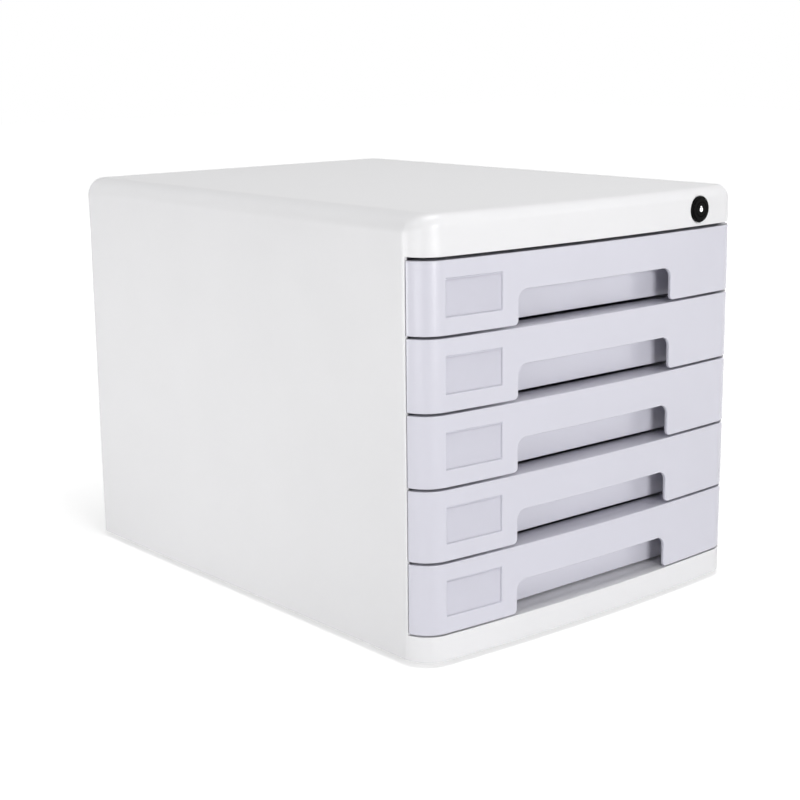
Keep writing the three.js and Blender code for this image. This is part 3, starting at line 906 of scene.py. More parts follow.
@dataclass(frozen=True)
class Casing:
    """The moulded casing with its base plate, back panel, liners, feet and screws."""

    shelf: FinishShelf
    plan: BowedPlan
    wall: float = 0.0025
    side_round: float = 0.013
    front_round: float = 0.007
    round_steps: int = 10
    sill_height: float = 0.0156
    sill_shelf_depth: float = 0.038
    header_height: float = 0.0237
    return_depth: float = 0.0194
    boss_size: float = 0.01
    boss_length: float = 0.014
    fit_gap: float = 0.0003
    rear_rim_round: float = 0.0018
    rear_rim_steps: int = 4
    panel_corner_steps: int = 12
    edge_round: float = 0.0004
    liner_edge_round: float = 0.0002
    screw_hole_radius: float = 0.0016
    boss_hole_sides: int = 24
    panel_hole_sides: int = 32
    screw_depth: float = 0.011
    lock_seat_radius: float = 0.0086
    lock_hole_radius: float = 0.0061
    lock_hole_depth: float = 0.01
    lock_hole_sides: int = 96

    def build(self) -> None:
        """Build and dress every piece of the casing."""
        self.shelf.dress(self._shell(), Finish.CASING, "casing", "outer_shell")
        self.shelf.dress(self._back_panel(), Finish.INNER, "casing", "back_panel")
        for node in ("base_plate", "left_runner_panel", "right_runner_panel"):
            piece = Workpiece.copy_of_node(node, node + "_moulding")
            piece.soften(self.liner_edge_round)
            self.shelf.dress(piece, Finish.INNER, "casing", node)
        self._feet()
        self._screws()

    def _shell(self) -> Workpiece:
        """Build the shell: top, sides, header and sill in one moulding.

        Returns:
            The shell.
        """
        low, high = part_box("outer_shell")
        shell = self.plan.draw("shell", low.z, high.z, high.y)
        shell.close()
        shell.cap(high.z)
        self._round_top(shell, high.z)
        self._open_front_and_back(shell, low, high)
        shell.thicken(self.wall)
        shell.join(self._sill_shelf(low))
        self._fit_bosses(shell, high)
        self._seat_lock(shell)
        shell.clean()
        shell.round_edges(
            lambda edge: self._on_rear_rim(edge, high), self.rear_rim_round, self.rear_rim_steps
        )
        shell.soften(self.edge_round)
        return shell

    def _round_top(self, shell: WallStrip, top: float) -> None:
        """Round the top's edges, the sides' more than the front's, and blend them at the corners.

        Args:
            shell: The shell, closed all round.
            top: The height of its top.
        """
        least_share = self.front_round / self.side_round
        corner_y = self.plan.corner_y
        bow_start = self.plan.bow_centre - math.cos(self.plan.bow_end) * self.plan.bow_radius
        with shell.editing():
            mesh = bmesh.from_edit_mesh(shell.shape.data)
            weights = mesh.edges.layers.float.new("bevel_weight_edge")
            for edge in mesh.edges:
                if not lies_at(edge, z=top) or lies_at(edge, y=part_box("outer_shell")[1].y):
                    continue
                blend_share = min(1, max(0, (middle(edge).y - bow_start) / (corner_y - bow_start)))
                edge[weights] = least_share + (1 - least_share) * blend_share
            bmesh.update_edit_mesh(shell.shape.data)
        shell.apply(
            "BEVEL",
            width=self.side_round,
            segments=self.round_steps,
            limit_method="WEIGHT",
            use_clamp_overlap=False,
        )

    def _open_front_and_back(self, shell: WallStrip, low: Vector, high: Vector) -> None:
        """Open the back, and the front between the sill and the header.

        Args:
            shell: The shell, closed all round.
            low: The casing's lowest corner.
            high: The casing's highest corner.
        """
        sill_top = low.z + self.sill_height
        header_bottom = high.z - self.header_height
        opening = low.y + self.return_depth
        with shell.editing():
            for point, normal in (
                ((0, 0, sill_top), (0, 0, 1)),
                ((0, 0, header_bottom), (0, 0, 1)),
                ((0, opening, 0), (0, 1, 0)),
            ):
                bpy.ops.mesh.select_all(action="SELECT")
                shell.slice_at(point, normal)
            shell.pick(
                Element.FACES,
                lambda face: lies_at(face, y=high.y)
                or (middle(face).y < opening and sill_top < middle(face).z < header_bottom),
            )
            bpy.ops.mesh.delete(type="FACE")
        shell.clean()
        shell.face_outwards()

    def _sill_shelf(self, low: Vector) -> Workpiece:
        """Build the shelf that runs back from the top of the sill.

        Args:
            low: The casing's lowest corner.

        Returns:
            The shelf.
        """
        top = low.z + self.sill_height
        inner = self.plan.inset(self.wall / 2)
        return inner.slab("sill_shelf", top - self.wall, top, low.y + self.sill_shelf_depth)

    def _fit_bosses(self, shell: Workpiece, high: Vector) -> None:
        """Fit the bosses that the base plate's and the back panel's screws go into.

        Args:
            shell: The shell with its wall.
            high: The casing's highest corner.
        """
        half = self.boss_size / 2
        inner_side = self.plan.half_width - self.wall / 2
        plate_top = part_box("base_plate")[0].z + self.wall
        base = plate_top + self.fit_gap
        panel_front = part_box("back_panel")[0].y - self.fit_gap
        for corner in FLOOR_CORNERS:
            x, y, _ = centre_of("base_screw_" + corner)
            inner, outer = sorted((x - math.copysign(half, x), math.copysign(inner_side, x)))
            low_end, high_end = (inner, y - half, base), (outer, y + half, base + self.boss_size)
            shell.join(Workpiece.block("boss", low_end, high_end))
            start, end = (x, y, base - OVERRUN), (x, y, base + self.screw_depth - OVERRUN)
            shell.cut(self._screw_hole(start, end, self.boss_hole_sides))
        for side in ("left", "right"):
            x, _, z = centre_of("back_screw_upper_" + side)
            shell.join(Workpiece.block(
                "boss",
                (x - half, panel_front - self.boss_length, z - half),
                (x + half, panel_front, high.z - self.wall / 2),
            ))
            start, end = (x, panel_front + OVERRUN, z), (x, panel_front - self.screw_depth, z)
            shell.cut(self._screw_hole(start, end, self.boss_hole_sides))

    def _screw_hole(self, start: Triple, end: Triple, sides: int) -> Workpiece:
        """Build the rod that cuts a screw's hole between two points."""
        return Workpiece.rod("hole", self.screw_hole_radius, start, end, sides)

    def _seat_lock(self, shell: Workpiece) -> None:
        """Cut the lock's seat and its hole through the header.

        Args:
            shell: The shell with its wall.
        """
        low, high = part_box("lock_barrel")
        x, z = (low.x + high.x) / 2, (low.z + high.z) / 2
        seat = self.plan.surface(x + (high.x - low.x) / 2) + self.fit_gap / 2
        front = self.plan.surface(0) - OVERRUN
        for name, radius, rear in (
            ("seat", self.lock_seat_radius, seat),
            ("hole", self.lock_hole_radius, seat + self.lock_hole_depth),
        ):
            shell.cut(Workpiece.rod(name, radius, (x, front, z), (x, rear, z), self.lock_hole_sides))

    def _on_rear_rim(self, edge: bmesh.types.BMEdge, high: Vector) -> bool:
        """Say whether an edge lies on the outer line of the shell's rear rim.

        Args:
            edge: The edge.
            high: The casing's highest corner.

        Returns:
            Whether it does.
        """
        place = middle(edge)
        across = max(abs(place.x) - (high.x - self.side_round), 0)
        up = max(place.z - (high.z - self.side_round), 0)
        return lies_at(edge, y=high.y) and math.hypot(across, up) > self.side_round - self.wall / 2

    def _back_panel(self) -> Workpiece:
        """Build the panel that closes the back, with its screw holes.

        Returns:
            The panel.
        """
        low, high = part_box("back_panel")
        panel = Workpiece.block("rear_panel", low, high)
        panel.round_edges(
            lambda edge: lies_at(edge, z=high.z) and (lies_at(edge, x=low.x) or lies_at(edge, x=high.x)),
            self.side_round - self.wall,
            self.panel_corner_steps,
        )
        for name in BACK_CORNERS:
            x, _, z = centre_of("back_screw_" + name)
            start, end = (x, low.y - OVERRUN, z), (x, high.y + OVERRUN, z)
            panel.cut(self._screw_hole(start, end, self.panel_hole_sides))
        panel.soften(self.edge_round)
        return panel

    def _feet(self) -> None:
        """Build the rubber feet from one, each at its corner."""
        master = Foot().build()
        first = centre_of("foot_front_left")
        for corner in FLOOR_CORNERS:
            node = "foot_" + corner
            place = centre_of(node)
            move = Matrix.Translation((place.x - first.x, place.y - first.y, 0))
            self.shelf.dress(master.copy("rubber_" + node, move), Finish.RUBBER, "casing", node)
        bpy.data.objects.remove(master.shape)

    def _screws(self) -> None:
        """Build the screws from one: upright in the base, and lying in the back."""
        master = PanScrew().build()
        places = {}
        for corner in FLOOR_CORNERS:
            x, y, _ = centre_of("base_screw_" + corner)
            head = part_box("base_screw_" + corner)[0].z
            places["base_screw_" + corner] = Matrix.Translation((x, y, head))
        turned = Matrix.Rotation(QUARTER, 4, "X")
        for corner in BACK_CORNERS:
            x, _, z = centre_of("back_screw_" + corner)
            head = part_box("back_screw_" + corner)[1].y
            places["back_screw_" + corner] = Matrix.Translation((x, head, z)) @ turned
        for node, move in places.items():
            self.shelf.dress(master.copy(node + "_steel", move), Finish.STEEL, "casing", node)
        bpy.data.objects.remove(master.shape)


@dataclass(frozen=True)
class DrawerStack:
    """The drawers, all alike: tray, bowed front, label card and cover, and steel catch."""

    shelf: FinishShelf
    plan: BowedPlan
    count: int = 5
    front_wall: float = 0.0025
    ledge: float = 0.0017
    seam: float = 0.0005
    opening_depth: float = 0.0194
    cutout_half: float = 0.0654
    cutout_height: float = 0.0203
    cutout_corner: float = 0.0065
    cutout_steps: int = 12
    cutout_flare: float = 0.003
    flare_steps: int = 8
    label_right: float = -0.0776
    label_left: float = -0.1182
    label_height: float = 0.0216
    label_depth: float = 0.0016
    label_rim: float = 0.0004
    cover_rim: float = 0.0001
    card: float = 0.0003
    cover: float = 0.0005
    sheet_edge_share: float = 0.3
    fit_gap: float = 0.0003
    tray_wall: float = 0.002
    tray_corner: float = 0.004
    tray_corner_steps: int = 6
    bay_margin: float = 0.024
    bay_corner: float = 0.006
    bay_depth: float = 0.023
    bay_steps: int = 12
    recess: float = 0.0175
    lip: float = 0.002
    lip_reach: float = 0.005
    lip_start: float = 0.009
    tab_drop: float = 0.0052
    tab_height: float = 0.0037
    tab_length: float = 0.006
    tab_inset: float = 0.002
    gusset_rise: float = 0.003
    edge_round: float = 0.0007
    edge_steps: int = 3
    tray_edge_round: float = 0.0004
    catch_edge_round: float = 0.0003

    @property
    def tray_half(self) -> float:
        """Give half of a tray's width without its lips."""
        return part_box("drawer_1_tray")[1].x - self.lip_reach

    @property
    def tray_front(self) -> float:
        """Give the place in depth of a tray's front wall, beside its bay."""
        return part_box("drawer_1_tray")[0].y + self.bay_depth

    def build(self) -> None:
        """Build the top drawer's pieces, and copy them down the stack."""
        card_rear = self.label_depth - self.fit_gap
        cover_rear = card_rear - (self.card + self.fit_gap)
        pieces = {
            "front": (self._front(), Finish.DRAWER),
            "tray": (self._tray(), Finish.DRAWER),
            "label_card": (self._label("label_card", self.label_rim, card_rear, self.card), Finish.PAPER),
            "label_window": (
                self._label("label_window", self.cover_rim, cover_rear, self.cover),
                Finish.CLEAR,
            ),
            "catch": (self._catch(), Finish.STEEL),
        }
        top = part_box("drawer_1_front")[0].z
        for number in range(1, self.count + 1):
            drop = Matrix.Translation((0, 0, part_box(f"drawer_{number}_front")[0].z - top))
            for kind, (master, finish) in pieces.items():
                piece = master.copy(f"drawer{number}_{kind}", drop)
                self.shelf.dress(piece, finish, f"drawer_{number}", f"drawer_{number}_{kind}")
        for master, _ in pieces.values():
            bpy.data.objects.remove(master.shape)

    def _front(self) -> Workpiece:
        """Build a drawer front: bowed skin, ledge, gussets, label recess and finger cutout.

        Returns:
            The front.
        """
        low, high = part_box("drawer_1_front")
        rear = self.plan.surface(0) + self.opening_depth - self.seam
        skin = self.plan.draw("front", low.z, high.z, rear + 2 * self.plan.corner_radius)
        skin.thicken(self.front_wall)
        with skin.editing():
            bpy.ops.mesh.select_all(action="SELECT")
            skin.slice_at((0, rear, 0), (0, 1, 0), clear_outer=True, use_fill=True)
        skin.join(self._ledge(rear, high.z), *self._gussets(low, high))
        skin.cut(self._cutout(low.z), self._label_recess((low.z + high.z) / 2))
        skin.clean()
        skin.round_edges(
            lambda edge: near(abs(middle(edge).x), self.cutout_half) and lies_at(edge, z=low.z),
            self.cutout_flare,
            self.flare_steps,
        )
        skin.soften(self.edge_round, self.edge_steps)
        return skin

    def _label_recess(self, mid_height: float) -> Workpiece:
        """Build the bent block that cuts the label's recess into the bowed skin.

        Args:
            mid_height: The height of the recess's middle.

        Returns:
            The block.
        """
        half = self.label_height / 2
        spans = (self.label_left, self.label_right, mid_height - half, mid_height + half)
        return self._bent_sheet("recess", -OVERRUN, self.label_depth, spans)

    def _bent_sheet(self, name: str, outer: float, inner: float, spans: tuple[float, ...]) -> Workpiece:
        """Build a sheet bent to the front's bow.

        Args:
            name: The sheet's name.
            outer: How far its outer face lies behind the front's surface.
            inner: How far its inner face lies behind the front's surface.
            spans: Its left and right ends, and its lower and upper edges.

        Returns:
            The sheet.
        """
        left, right, low, high = spans
        sheet = self.plan.inset(outer).draw(name, low, high, 0)
        with sheet.editing():
            for x, before in ((left, True), (right, False)):
                bpy.ops.mesh.select_all(action="SELECT")
                sheet.slice_at((x, 0, 0), (1, 0, 0), clear_inner=before, clear_outer=not before)
        sheet.thicken(inner - outer)
        return sheet

    def _ledge(self, rear: float, top: float) -> Workpiece:
        """Build the ledge along the front's top, which runs back over the tray's rim.

        Args:
            rear: Where the front's sides end in depth.
            top: The height of the ledge's top.

        Returns:
            The ledge.
        """
        half, back = self.tray_half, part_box("drawer_1_tray")[1].y
        low = top - self.ledge
        plan = self.plan.inset(self.front_wall / 2)
        ledge = plan.slab("ledge", low, top, self.tray_front + self.tray_wall)
        wide = self.plan.half_width + OVERRUN
        under, over = low - OVERRUN, top + OVERRUN
        for inner, outer in ((-wide, -half), (half, wide)):
            ledge.cut(Workpiece.block("side_space", (inner, rear, under), (outer, back, over)))
        ledge.cut(self._bay(self.tray_wall, under, over))
        return ledge

    def _bay(self, inset: float, low: float, high: float) -> Workpiece:
        """Build a block that fills the tray's bay, to cut it out of something else.

        Args:
            inset: How far the block lies inside the bay's outer face.
            low: The height of its underside.
            high: The height of its top.

        Returns:
            The block.
        """
        half = self.cutout_half + self.bay_margin - inset
        front = self.plan.surface(0) + self.recess + inset
        block = Workpiece.block("bay", (-half, front, low), (half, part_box("drawer_1_tray")[1].y, high))
        block.round_edges(
            lambda edge: lies_at(edge, y=front) and near(abs(middle(edge).x), half),
            self.bay_corner - inset,
            self.bay_steps,
        )
        return block

    def _gussets(self, low: Vector, high: Vector) -> list[Workpiece]:
        """Build the gussets that stiffen the ledge.

        Args:
            low: The front's lowest corner.
            high: The front's highest corner.

        Returns:
            The gussets.
        """
        place = (self.cutout_half + self.bay_margin + self.tray_half) / 2
        half_wall = self.front_wall / 2
        made = []
        for x in (-place, place):
            made.append(Workpiece.block(
                "gusset",
                (x - half_wall, self.plan.surface(x) + half_wall, low.z + self.gusset_rise),
                (x + half_wall, self.tray_front - self.fit_gap, high.z - self.ledge / 2),
            ))
        return made

    def _cutout(self, bottom: float) -> Workpiece:
        """Build the block that cuts the finger opening into the front's lower edge.

        Args:
            bottom: The height of the front's lower edge.

        Returns:
            The block.
        """
        front = self.plan.surface(0)
        top = bottom + self.cutout_height
        block = Workpiece.block(
            "cutout",
            (-self.cutout_half, front - OVERRUN, bottom - OVERRUN),
            (self.cutout_half, front + self.recess, top),
        )
        block.round_edges(
            lambda edge: lies_at(edge, z=top) and near(abs(middle(edge).x), self.cutout_half),
            self.cutout_corner,
            self.cutout_steps,
        )
        return block

    def _tray(self) -> Workpiece:
        """Build a tray, with the lips that it hangs by and the tabs that stop it.

        Returns:
            The tray.
        """
        low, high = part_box("drawer_1_tray")
        half, front = self.tray_half, self.tray_front
        corner, bay = self.tray_corner, self.cutout_half + self.bay_margin
        bay_turn = low.y + self.bay_corner
        body = WallStrip("tray", (-half, high.y - corner), (-half, front), low.z, high.z)
        body.run_to(-bay, front)
        body.run_to(-bay, bay_turn)
        body.turn(-bay + self.bay_corner, bay_turn, QUARTER, self.bay_steps)
        body.run_to(bay - self.bay_corner, low.y)
        body.turn(bay - self.bay_corner, bay_turn, QUARTER, self.bay_steps)
        body.run_to(bay, front)
        body.run_to(half, front)
        body.run_to(half, high.y - corner)
        body.turn(half - corner, high.y - corner, QUARTER, self.tray_corner_steps)
        body.run_to(-half + corner, high.y)
        body.turn(-half + corner, high.y - corner, QUARTER, self.tray_corner_steps)
        body.close()
        body.cap(low.z)
        body.thicken(self.tray_wall)
        self._draw_out_lips(body, high)
        body.join(*self._tabs(high))
        body.soften(self.tray_edge_round)
        return body

    def _draw_out_lips(self, tray: Workpiece, high: Vector) -> None:
        """Draw the lips that a tray hangs by out of its sides.

        Args:
            tray: The tray with its walls.
            high: The tray's highest corner.
        """
        lip_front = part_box("left_runner_panel")[0].y + self.lip_start
        lip_rear = high.y - self.tray_corner - self.edge_round
        lip_low = high.z - self.lip
        limits = (((0, lip_front, 0), (0, 1, 0)), ((0, lip_rear, 0), (0, 1, 0)), ((0, 0, lip_low), (0, 0, 1)))
        with tray.editing():
            for side in (-self.tray_half, self.tray_half):
                for point, normal in limits:
                    tray.pick(Element.FACES, lambda face: lies_at(face, x=side))
                    tray.slice_at(point, normal)
                tray.pick(
                    Element.FACES,
                    lambda face: lies_at(face, x=side)
                    and middle(face).z > lip_low
                    and lip_front < middle(face).y < lip_rear,
                )
                tray.draw_out(x=math.copysign(self.lip_reach, side))

    def _tabs(self, high: Vector) -> list[Workpiece]:
        """Build the tabs that stop a tray at the end of its travel.

        Args:
            high: The tray's highest corner.

        Returns:
            The tabs.
        """
        root = self.tray_half - self.tray_wall / 2
        top = high.z - self.tab_drop
        rear = high.y - self.tab_inset
        made = []
        for side in (-1, 1):
            inner, outer = sorted((side * root, side * high.x))
            made.append(Workpiece.block(
                "tab", (inner, rear - self.tab_length, top - self.tab_height), (outer, rear, top)
            ))
        return made

    def _label(self, name: str, rim: float, rear: float, thickness: float) -> Workpiece:
        """Build the label card, or the clear cover over it, bent to the front's bow.

        Args:
            name: The piece's name.
            rim: How far its edges stay inside the recess.
            rear: How far its rear face lies behind the front's surface.
            thickness: Its thickness.

        Returns:
            The piece.
        """
        low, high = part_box("drawer_1_" + name)
        spans = (self.label_left + rim, self.label_right - rim, low.z, high.z)
        sheet = self._bent_sheet(name, rear - thickness, rear, spans)
        sheet.soften(thickness * self.sheet_edge_share)
        return sheet

    def _catch(self) -> Workpiece:
        """Build the bent steel catch that the locking bar stops.

        Returns:
            The catch.
        """
        catch = Workpiece.copy_of_node("drawer_1_catch", "catch")
        catch.soften(self.catch_edge_round)
        return catch


@dataclass(frozen=True)
class Lock:
    """The cam lock with its plug and keyhole plate, and the bar that it lifts."""

    shelf: FinishShelf
    face_radius: float = 0.007
    face_rise: float = 0.0008
    barrel_radius: float = 0.0058
    bore_radius: float = 0.0047
    plug_radius: float = 0.0044
    tail_radius: float = 0.0022
    plate_radius: float = 0.00145
    plate_drop: float = 0.0002
    plate_top_half: float = 0.0006
    plate_top_rise: float = 0.0021
    plate_seat: float = 0.0012
    slit_half: float = 0.0003
    slit_half_height: float = 0.0012
    slit_depth: float = 0.009
    flange: float = 0.0014
    sink: float = 0.0008
    fit_gap: float = 0.0003
    plate_gap: float = 0.0001
    screw_hole_radius: float = 0.0011
    screw_hole_depth: float = 0.005
    sides: int = 96
    round_steps: int = 4
    edge_round: float = 0.00015
    plate_edge_round: float = 0.0001
    nut_edge_round: float = 0.0004
    cam_edge_round: float = 0.0002
    bar_edge_round: float = 0.0003

    def build(self) -> None:
        """Build and dress every piece of the lock."""
        self.shelf.dress(self._barrel(), Finish.BLACK, "casing", "lock_barrel")
        self.shelf.dress(self._plug(), Finish.BLACK, "lock_core", "lock_plug")
        self.shelf.dress(self._keyhole_plate(), Finish.CHROME, "lock_core", "lock_keyhole_plate")
        for node, body, radius in (
            ("lock_nut", "casing", self.nut_edge_round),
            ("lock_cam", "lock_core", self.cam_edge_round),
            ("lock_cam_screw", "lock_core", self.cam_edge_round),
            ("locking_bar", "locking_bar", self.bar_edge_round),
        ):
            piece = Workpiece.copy_of_node(node, node + "_steel")
            piece.soften(radius)
            self.shelf.dress(piece, Finish.STEEL, body, node)

    @property
    def centre(self) -> Vector:
        """Give the middle of the lock's barrel."""
        return centre_of("lock_barrel")

    def _rod(self, name: str, radius: float, front: float, rear: float, rise: float = 0) -> Workpiece:
        """Add a round rod along the lock's axis.

        Args:
            name: The rod's name.
            radius: Its radius.
            front: Where it starts in depth.
            rear: Where it ends in depth.
            rise: How far it lies above the axis.

        Returns:
            The rod.
        """
        x, z = self.centre.x, self.centre.z + rise
        return Workpiece.rod(name, radius, (x, front, z), (x, rear, z), self.sides)

    def _barrel(self) -> Workpiece:
        """Build the fixed body: a flange, a raised face on it and a barrel behind it.

        Returns:
            The body.
        """
        low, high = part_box("lock_barrel")
        front = low.y + self.sink
        flange_front = front + self.face_rise
        flange_rear = flange_front + self.flange
        flange_radius = (high.x - low.x) / 2
        barrel = self._rod("barrel", flange_radius, flange_front, flange_rear)
        with barrel.editing():
            barrel.pick(Element.FACES, lambda face: lies_at(face, y=flange_front))
            bpy.ops.mesh.inset(thickness=flange_radius - self.face_radius)
            barrel.draw_out(y=-self.face_rise)
            barrel.pick(Element.FACES, lambda face: lies_at(face, y=flange_rear))
            bpy.ops.mesh.inset(thickness=flange_radius - self.barrel_radius)
            barrel.draw_out(y=high.y - flange_rear)
        barrel.round_edges(lambda edge: lies_at(edge, y=front), self.face_rise / 2, self.round_steps)
        barrel.round_edges(
            lambda edge: lies_at(edge, y=flange_front) and self._far_out(edge, flange_radius),
            self.face_rise / 2,
            self.round_steps,
        )
        barrel.cut(self._rod("bore", self.bore_radius, low.y - OVERRUN, high.y + OVERRUN))
        barrel.soften(self.edge_round)
        return barrel

    def _far_out(self, edge: bmesh.types.BMEdge, radius: float) -> bool:
        """Say whether an edge lies at a distance from the lock's axis."""
        place = middle(edge) - self.centre
        return abs(math.hypot(place.x, place.z) - radius) < self.fit_gap

    def _keyhole(self, name: str, margin: float, front: float, rear: float) -> Workpiece:
        """Build a keyhole-shaped peg: a round foot with a narrow block standing on it.

        Args:
            name: The peg's name.
            margin: How much larger than the plate it is.
            front: Where it starts in depth.
            rear: Where it ends in depth.

        Returns:
            The peg.
        """
        x, z = self.centre.x, self.centre.z
        half = self.plate_top_half + margin
        peg = self._rod(name, self.plate_radius + margin, front, rear, -self.plate_drop)
        top = z + self.plate_top_rise + margin
        peg.join(Workpiece.block("stem", (x - half, front, z), (x + half, rear, top)))
        return peg

    def _slit(self, front: float, rear: float) -> Workpiece:
        """Build the block that cuts the key's slit.

        Args:
            front: Where it starts in depth.
            rear: Where it ends in depth.

        Returns:
            The block.
        """
        x, z = self.centre.x, self.centre.z
        return Workpiece.block(
            "slit",
            (x - self.slit_half, front, z - self.slit_half_height),
            (x + self.slit_half, rear, z + self.slit_half_height),
        )

    def _plug(self) -> Workpiece:
        """Build the turning plug, with a seat for the keyhole plate and a tail for the cam.

        Returns:
            The plug.
        """
        low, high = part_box("lock_plug")
        front = low.y + self.sink
        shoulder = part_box("lock_barrel")[1].y - self.fit_gap
        plug = self._rod("plug", self.plug_radius, front, shoulder)
        with plug.editing():
            plug.pick(Element.FACES, lambda face: lies_at(face, y=shoulder))
            bpy.ops.mesh.inset(thickness=self.plug_radius - self.tail_radius)
            plug.draw_out(y=high.y - shoulder)
        hole_end = high.y - self.screw_hole_depth
        plug.cut(
            self._keyhole("seat", self.plate_gap, front - OVERRUN, front + self.plate_seat),
            self._slit(front, front + self.slit_depth),
            self._rod("screw_hole", self.screw_hole_radius, hole_end, high.y + OVERRUN),
        )
        plug.soften(self.edge_round)
        return plug

    def _keyhole_plate(self) -> Workpiece:
        """Build the bright plate round the keyhole, with the slit through it.

        Returns:
            The plate.
        """
        low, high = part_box("lock_keyhole_plate")
        front, rear = low.y + self.sink, high.y + self.sink
        plate = self._keyhole("keyhole_plate", 0, front, rear)
        plate.cut(self._slit(front - OVERRUN, rear + OVERRUN))
        plate.soften(self.plate_edge_round)
        return plate


@dataclass(frozen=True)
class Lamp:
    """One soft lamp of the studio, aimed at a point of the cabinet."""

    name: str
    azimuth: float
    elevation: float
    distance: float
    width: float
    height: float
    power: float
    target: Triple = (0, 0, 0.13)

    def hang(self) -> None:
        """Hang the lamp, out of the camera's sight."""
        azimuth, elevation = math.radians(self.azimuth), math.radians(self.elevation)
        direction = Vector((
            math.sin(azimuth) * math.cos(elevation),
            -math.cos(azimuth) * math.cos(elevation),
            math.sin(elevation),
        ))
        data = bpy.data.lights.new(self.name, "AREA")
        data.shape = "RECTANGLE"
        data.size, data.size_y = self.width, self.height
        data.energy = self.power
        lamp = bpy.data.objects.new(self.name, data)
        bpy.context.scene.collection.objects.link(lamp)
        lamp.location = Vector(self.target) + direction * self.distance
        lamp.rotation_euler = direction.to_track_quat("Z", "Y").to_euler()
        lamp.visible_camera = False


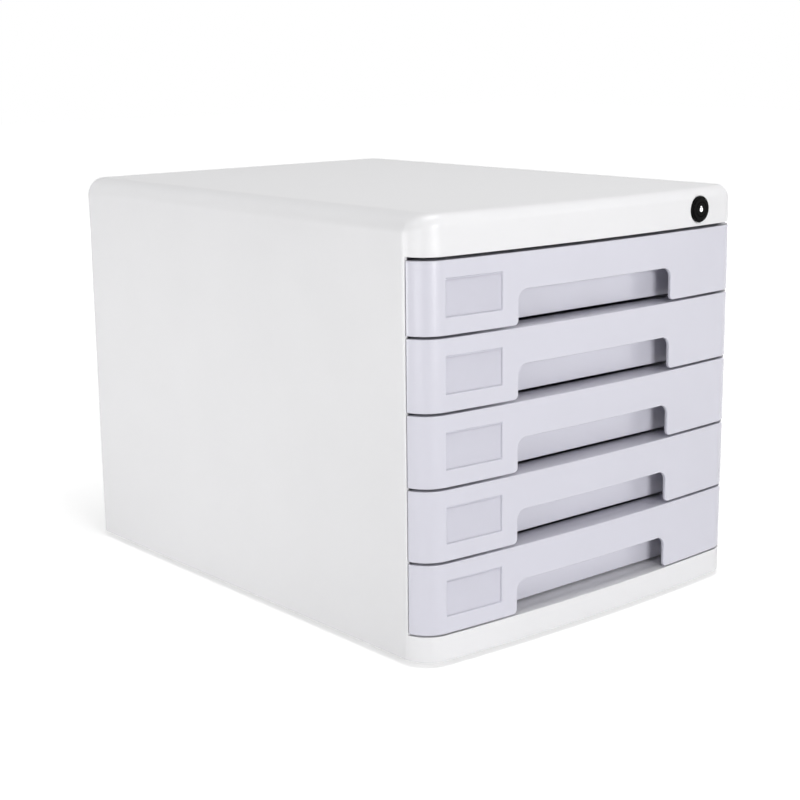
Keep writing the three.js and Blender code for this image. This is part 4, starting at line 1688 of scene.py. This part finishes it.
@dataclass(frozen=True)
class Studio:
    """The camera at the photograph's viewpoint, plain soft lamps, and a pale floor."""

    camera_place: Triple = (-0.69862, -0.82425, 0.35046)
    heading: float = 0.700734
    dip: float = 0.218987
    roll: float = 0.0105989
    lens: float = 72.416
    sensor: float = 36.0
    ambient: float = 0.02
    floor_half: float = 6.0
    floor_colour: Colour = (0.8, 0.8, 0.8)
    floor_lift: float = 0.52
    shadow_reach: float = 0.4
    shadow_end: float = 1.2

    def build(self) -> None:
        """Set up the camera, the lamps, the world and the floor."""
        bpy.context.scene.view_settings.view_transform = "Standard"
        self._camera()
        for lamp in (
            Lamp("side", -118, 5, 0.8, 0.4, 0.4, 3.0, (-0.135, -0.12, 0.07)),
            Lamp("corner", -70, 6, 1.0, 0.5, 0.5, 1.9, (-0.13, -0.18, 0.06)),
            Lamp("front", -10, 8, 2.4, 0.8, 0.8, 25.0),
            Lamp("right", 40, 10, 1.7, 0.8, 0.7, 3.0),
            Lamp("top", 0, 80, 1.7, 1.0, 1.0, 17.4),
            Lamp("strip", -8, 0, 0.8, 0.08, 0.48, 0.3, (-0.118, -0.17, 0.25)),
            Lamp("rear", 172, 4, 2.4, 0.9, 0.9, 15.0),
            Lamp("rear_right", 106, 4, 2.4, 0.9, 0.9, 12.0),
        ):
            lamp.hang()
        self._world()
        self._floor()

    def _camera(self) -> None:
        """Place the camera where the photograph was taken from."""
        ahead = Vector((
            math.sin(self.heading) * math.cos(self.dip),
            math.cos(self.heading) * math.cos(self.dip),
            -math.sin(self.dip),
        ))
        level_right = Vector((math.cos(self.heading), -math.sin(self.heading), 0))
        level_down = ahead.cross(level_right)
        right = math.cos(self.roll) * level_right + math.sin(self.roll) * level_down
        down = math.cos(self.roll) * level_down - math.sin(self.roll) * level_right
        data = bpy.data.cameras.new("camera")
        data.lens, data.sensor_width = self.lens, self.sensor
        camera = bpy.data.objects.new("camera", data)
        bpy.context.scene.collection.objects.link(camera)
        turn = Matrix((right, -down, -ahead)).transposed().to_4x4()
        camera.matrix_world = Matrix.Translation(self.camera_place) @ turn
        bpy.context.scene.camera = camera

    def _world(self) -> None:
        """Light the scene evenly, and show a white background to the camera and to gloss."""
        world = bpy.data.worlds.new("studio")
        bpy.context.scene.world = world
        world.use_nodes = True
        tree = world.node_tree
        tree.nodes.clear()
        path = tree.nodes.new("ShaderNodeLightPath")
        seen = self._seen(tree, path)
        mix = tree.nodes.new("ShaderNodeMixShader")
        dim = tree.nodes.new("ShaderNodeBackground")
        dim.inputs["Color"].default_value = WHITE
        dim.inputs["Strength"].default_value = self.ambient
        white = tree.nodes.new("ShaderNodeBackground")
        white.inputs["Color"].default_value = WHITE
        output = tree.nodes.new("ShaderNodeOutputWorld")
        tree.links.new(seen, mix.inputs["Fac"])
        tree.links.new(dim.outputs[0], mix.inputs[1])
        tree.links.new(white.outputs[0], mix.inputs[2])
        tree.links.new(mix.outputs[0], output.inputs["Surface"])

    def _seen(self, tree: bpy.types.NodeTree, path: bpy.types.Node) -> object:
        """Tell the rays that see the backdrop: the camera's, and those off gloss or through glass.

        Args:
            tree: The node tree.
            path: Its light path node.

        Returns:
            The socket that is 1 for such a ray.
        """
        seen = path.outputs["Is Camera Ray"]
        for name in BACKDROP_RAYS:
            either = tree.nodes.new("ShaderNodeMath")
            either.operation = "MAXIMUM"
            tree.links.new(seen, either.inputs[0])
            tree.links.new(path.outputs[name], either.inputs[1])
            seen = either.outputs[0]
        return seen

    def _floor(self) -> None:
        """Lay a pale floor that keeps the cabinet's shadow."""
        bpy.ops.object.select_all(action="DESELECT")
        bpy.ops.mesh.primitive_plane_add(size=2 * self.floor_half)
        floor = bpy.context.active_object
        floor.name = "floor"
        bench = NodeBench("pale_floor")
        path = bench.add("LightPath")
        seen = self._seen(bench.tree, path)
        place = bench.add("TexCoord").outputs["Object"]
        distance = bench.add("VectorMath", {0: place}, operation="LENGTH").outputs["Value"]
        white = bench.add("MapRange", {
            "Value": distance,
            "From Min": self.shadow_reach,
            "From Max": self.shadow_end,
            "To Min": self.floor_lift,
            "To Max": 1.0,
        })
        glow = bench.add("Math", {0: seen, 1: white.outputs["Result"]}, operation="MULTIPLY")
        lift = bench.add("Emission", {"Color": WHITE, "Strength": glow.outputs[0]})
        matt = bench.add("BsdfDiffuse", {"Color": (*self.floor_colour, 1)})
        both = bench.add("AddShader", {0: matt.outputs[0], 1: lift.outputs[0]})
        bench.add("OutputMaterial", {"Surface": both.outputs[0]})
        floor.data.materials.append(bench.material)


def main() -> None:
    """Build the cabinet's sub-assemblies in order, and the studio round them."""
    logging.basicConfig(level=logging.INFO, format="%(message)s")
    shelf = FinishShelf()
    plan = BowedPlan.from_frame()
    Studio().build()
    Casing(shelf, plan).build()
    DrawerStack(shelf, plan).build()
    Lock(shelf).build()


if __name__ == "__main__":
    main()
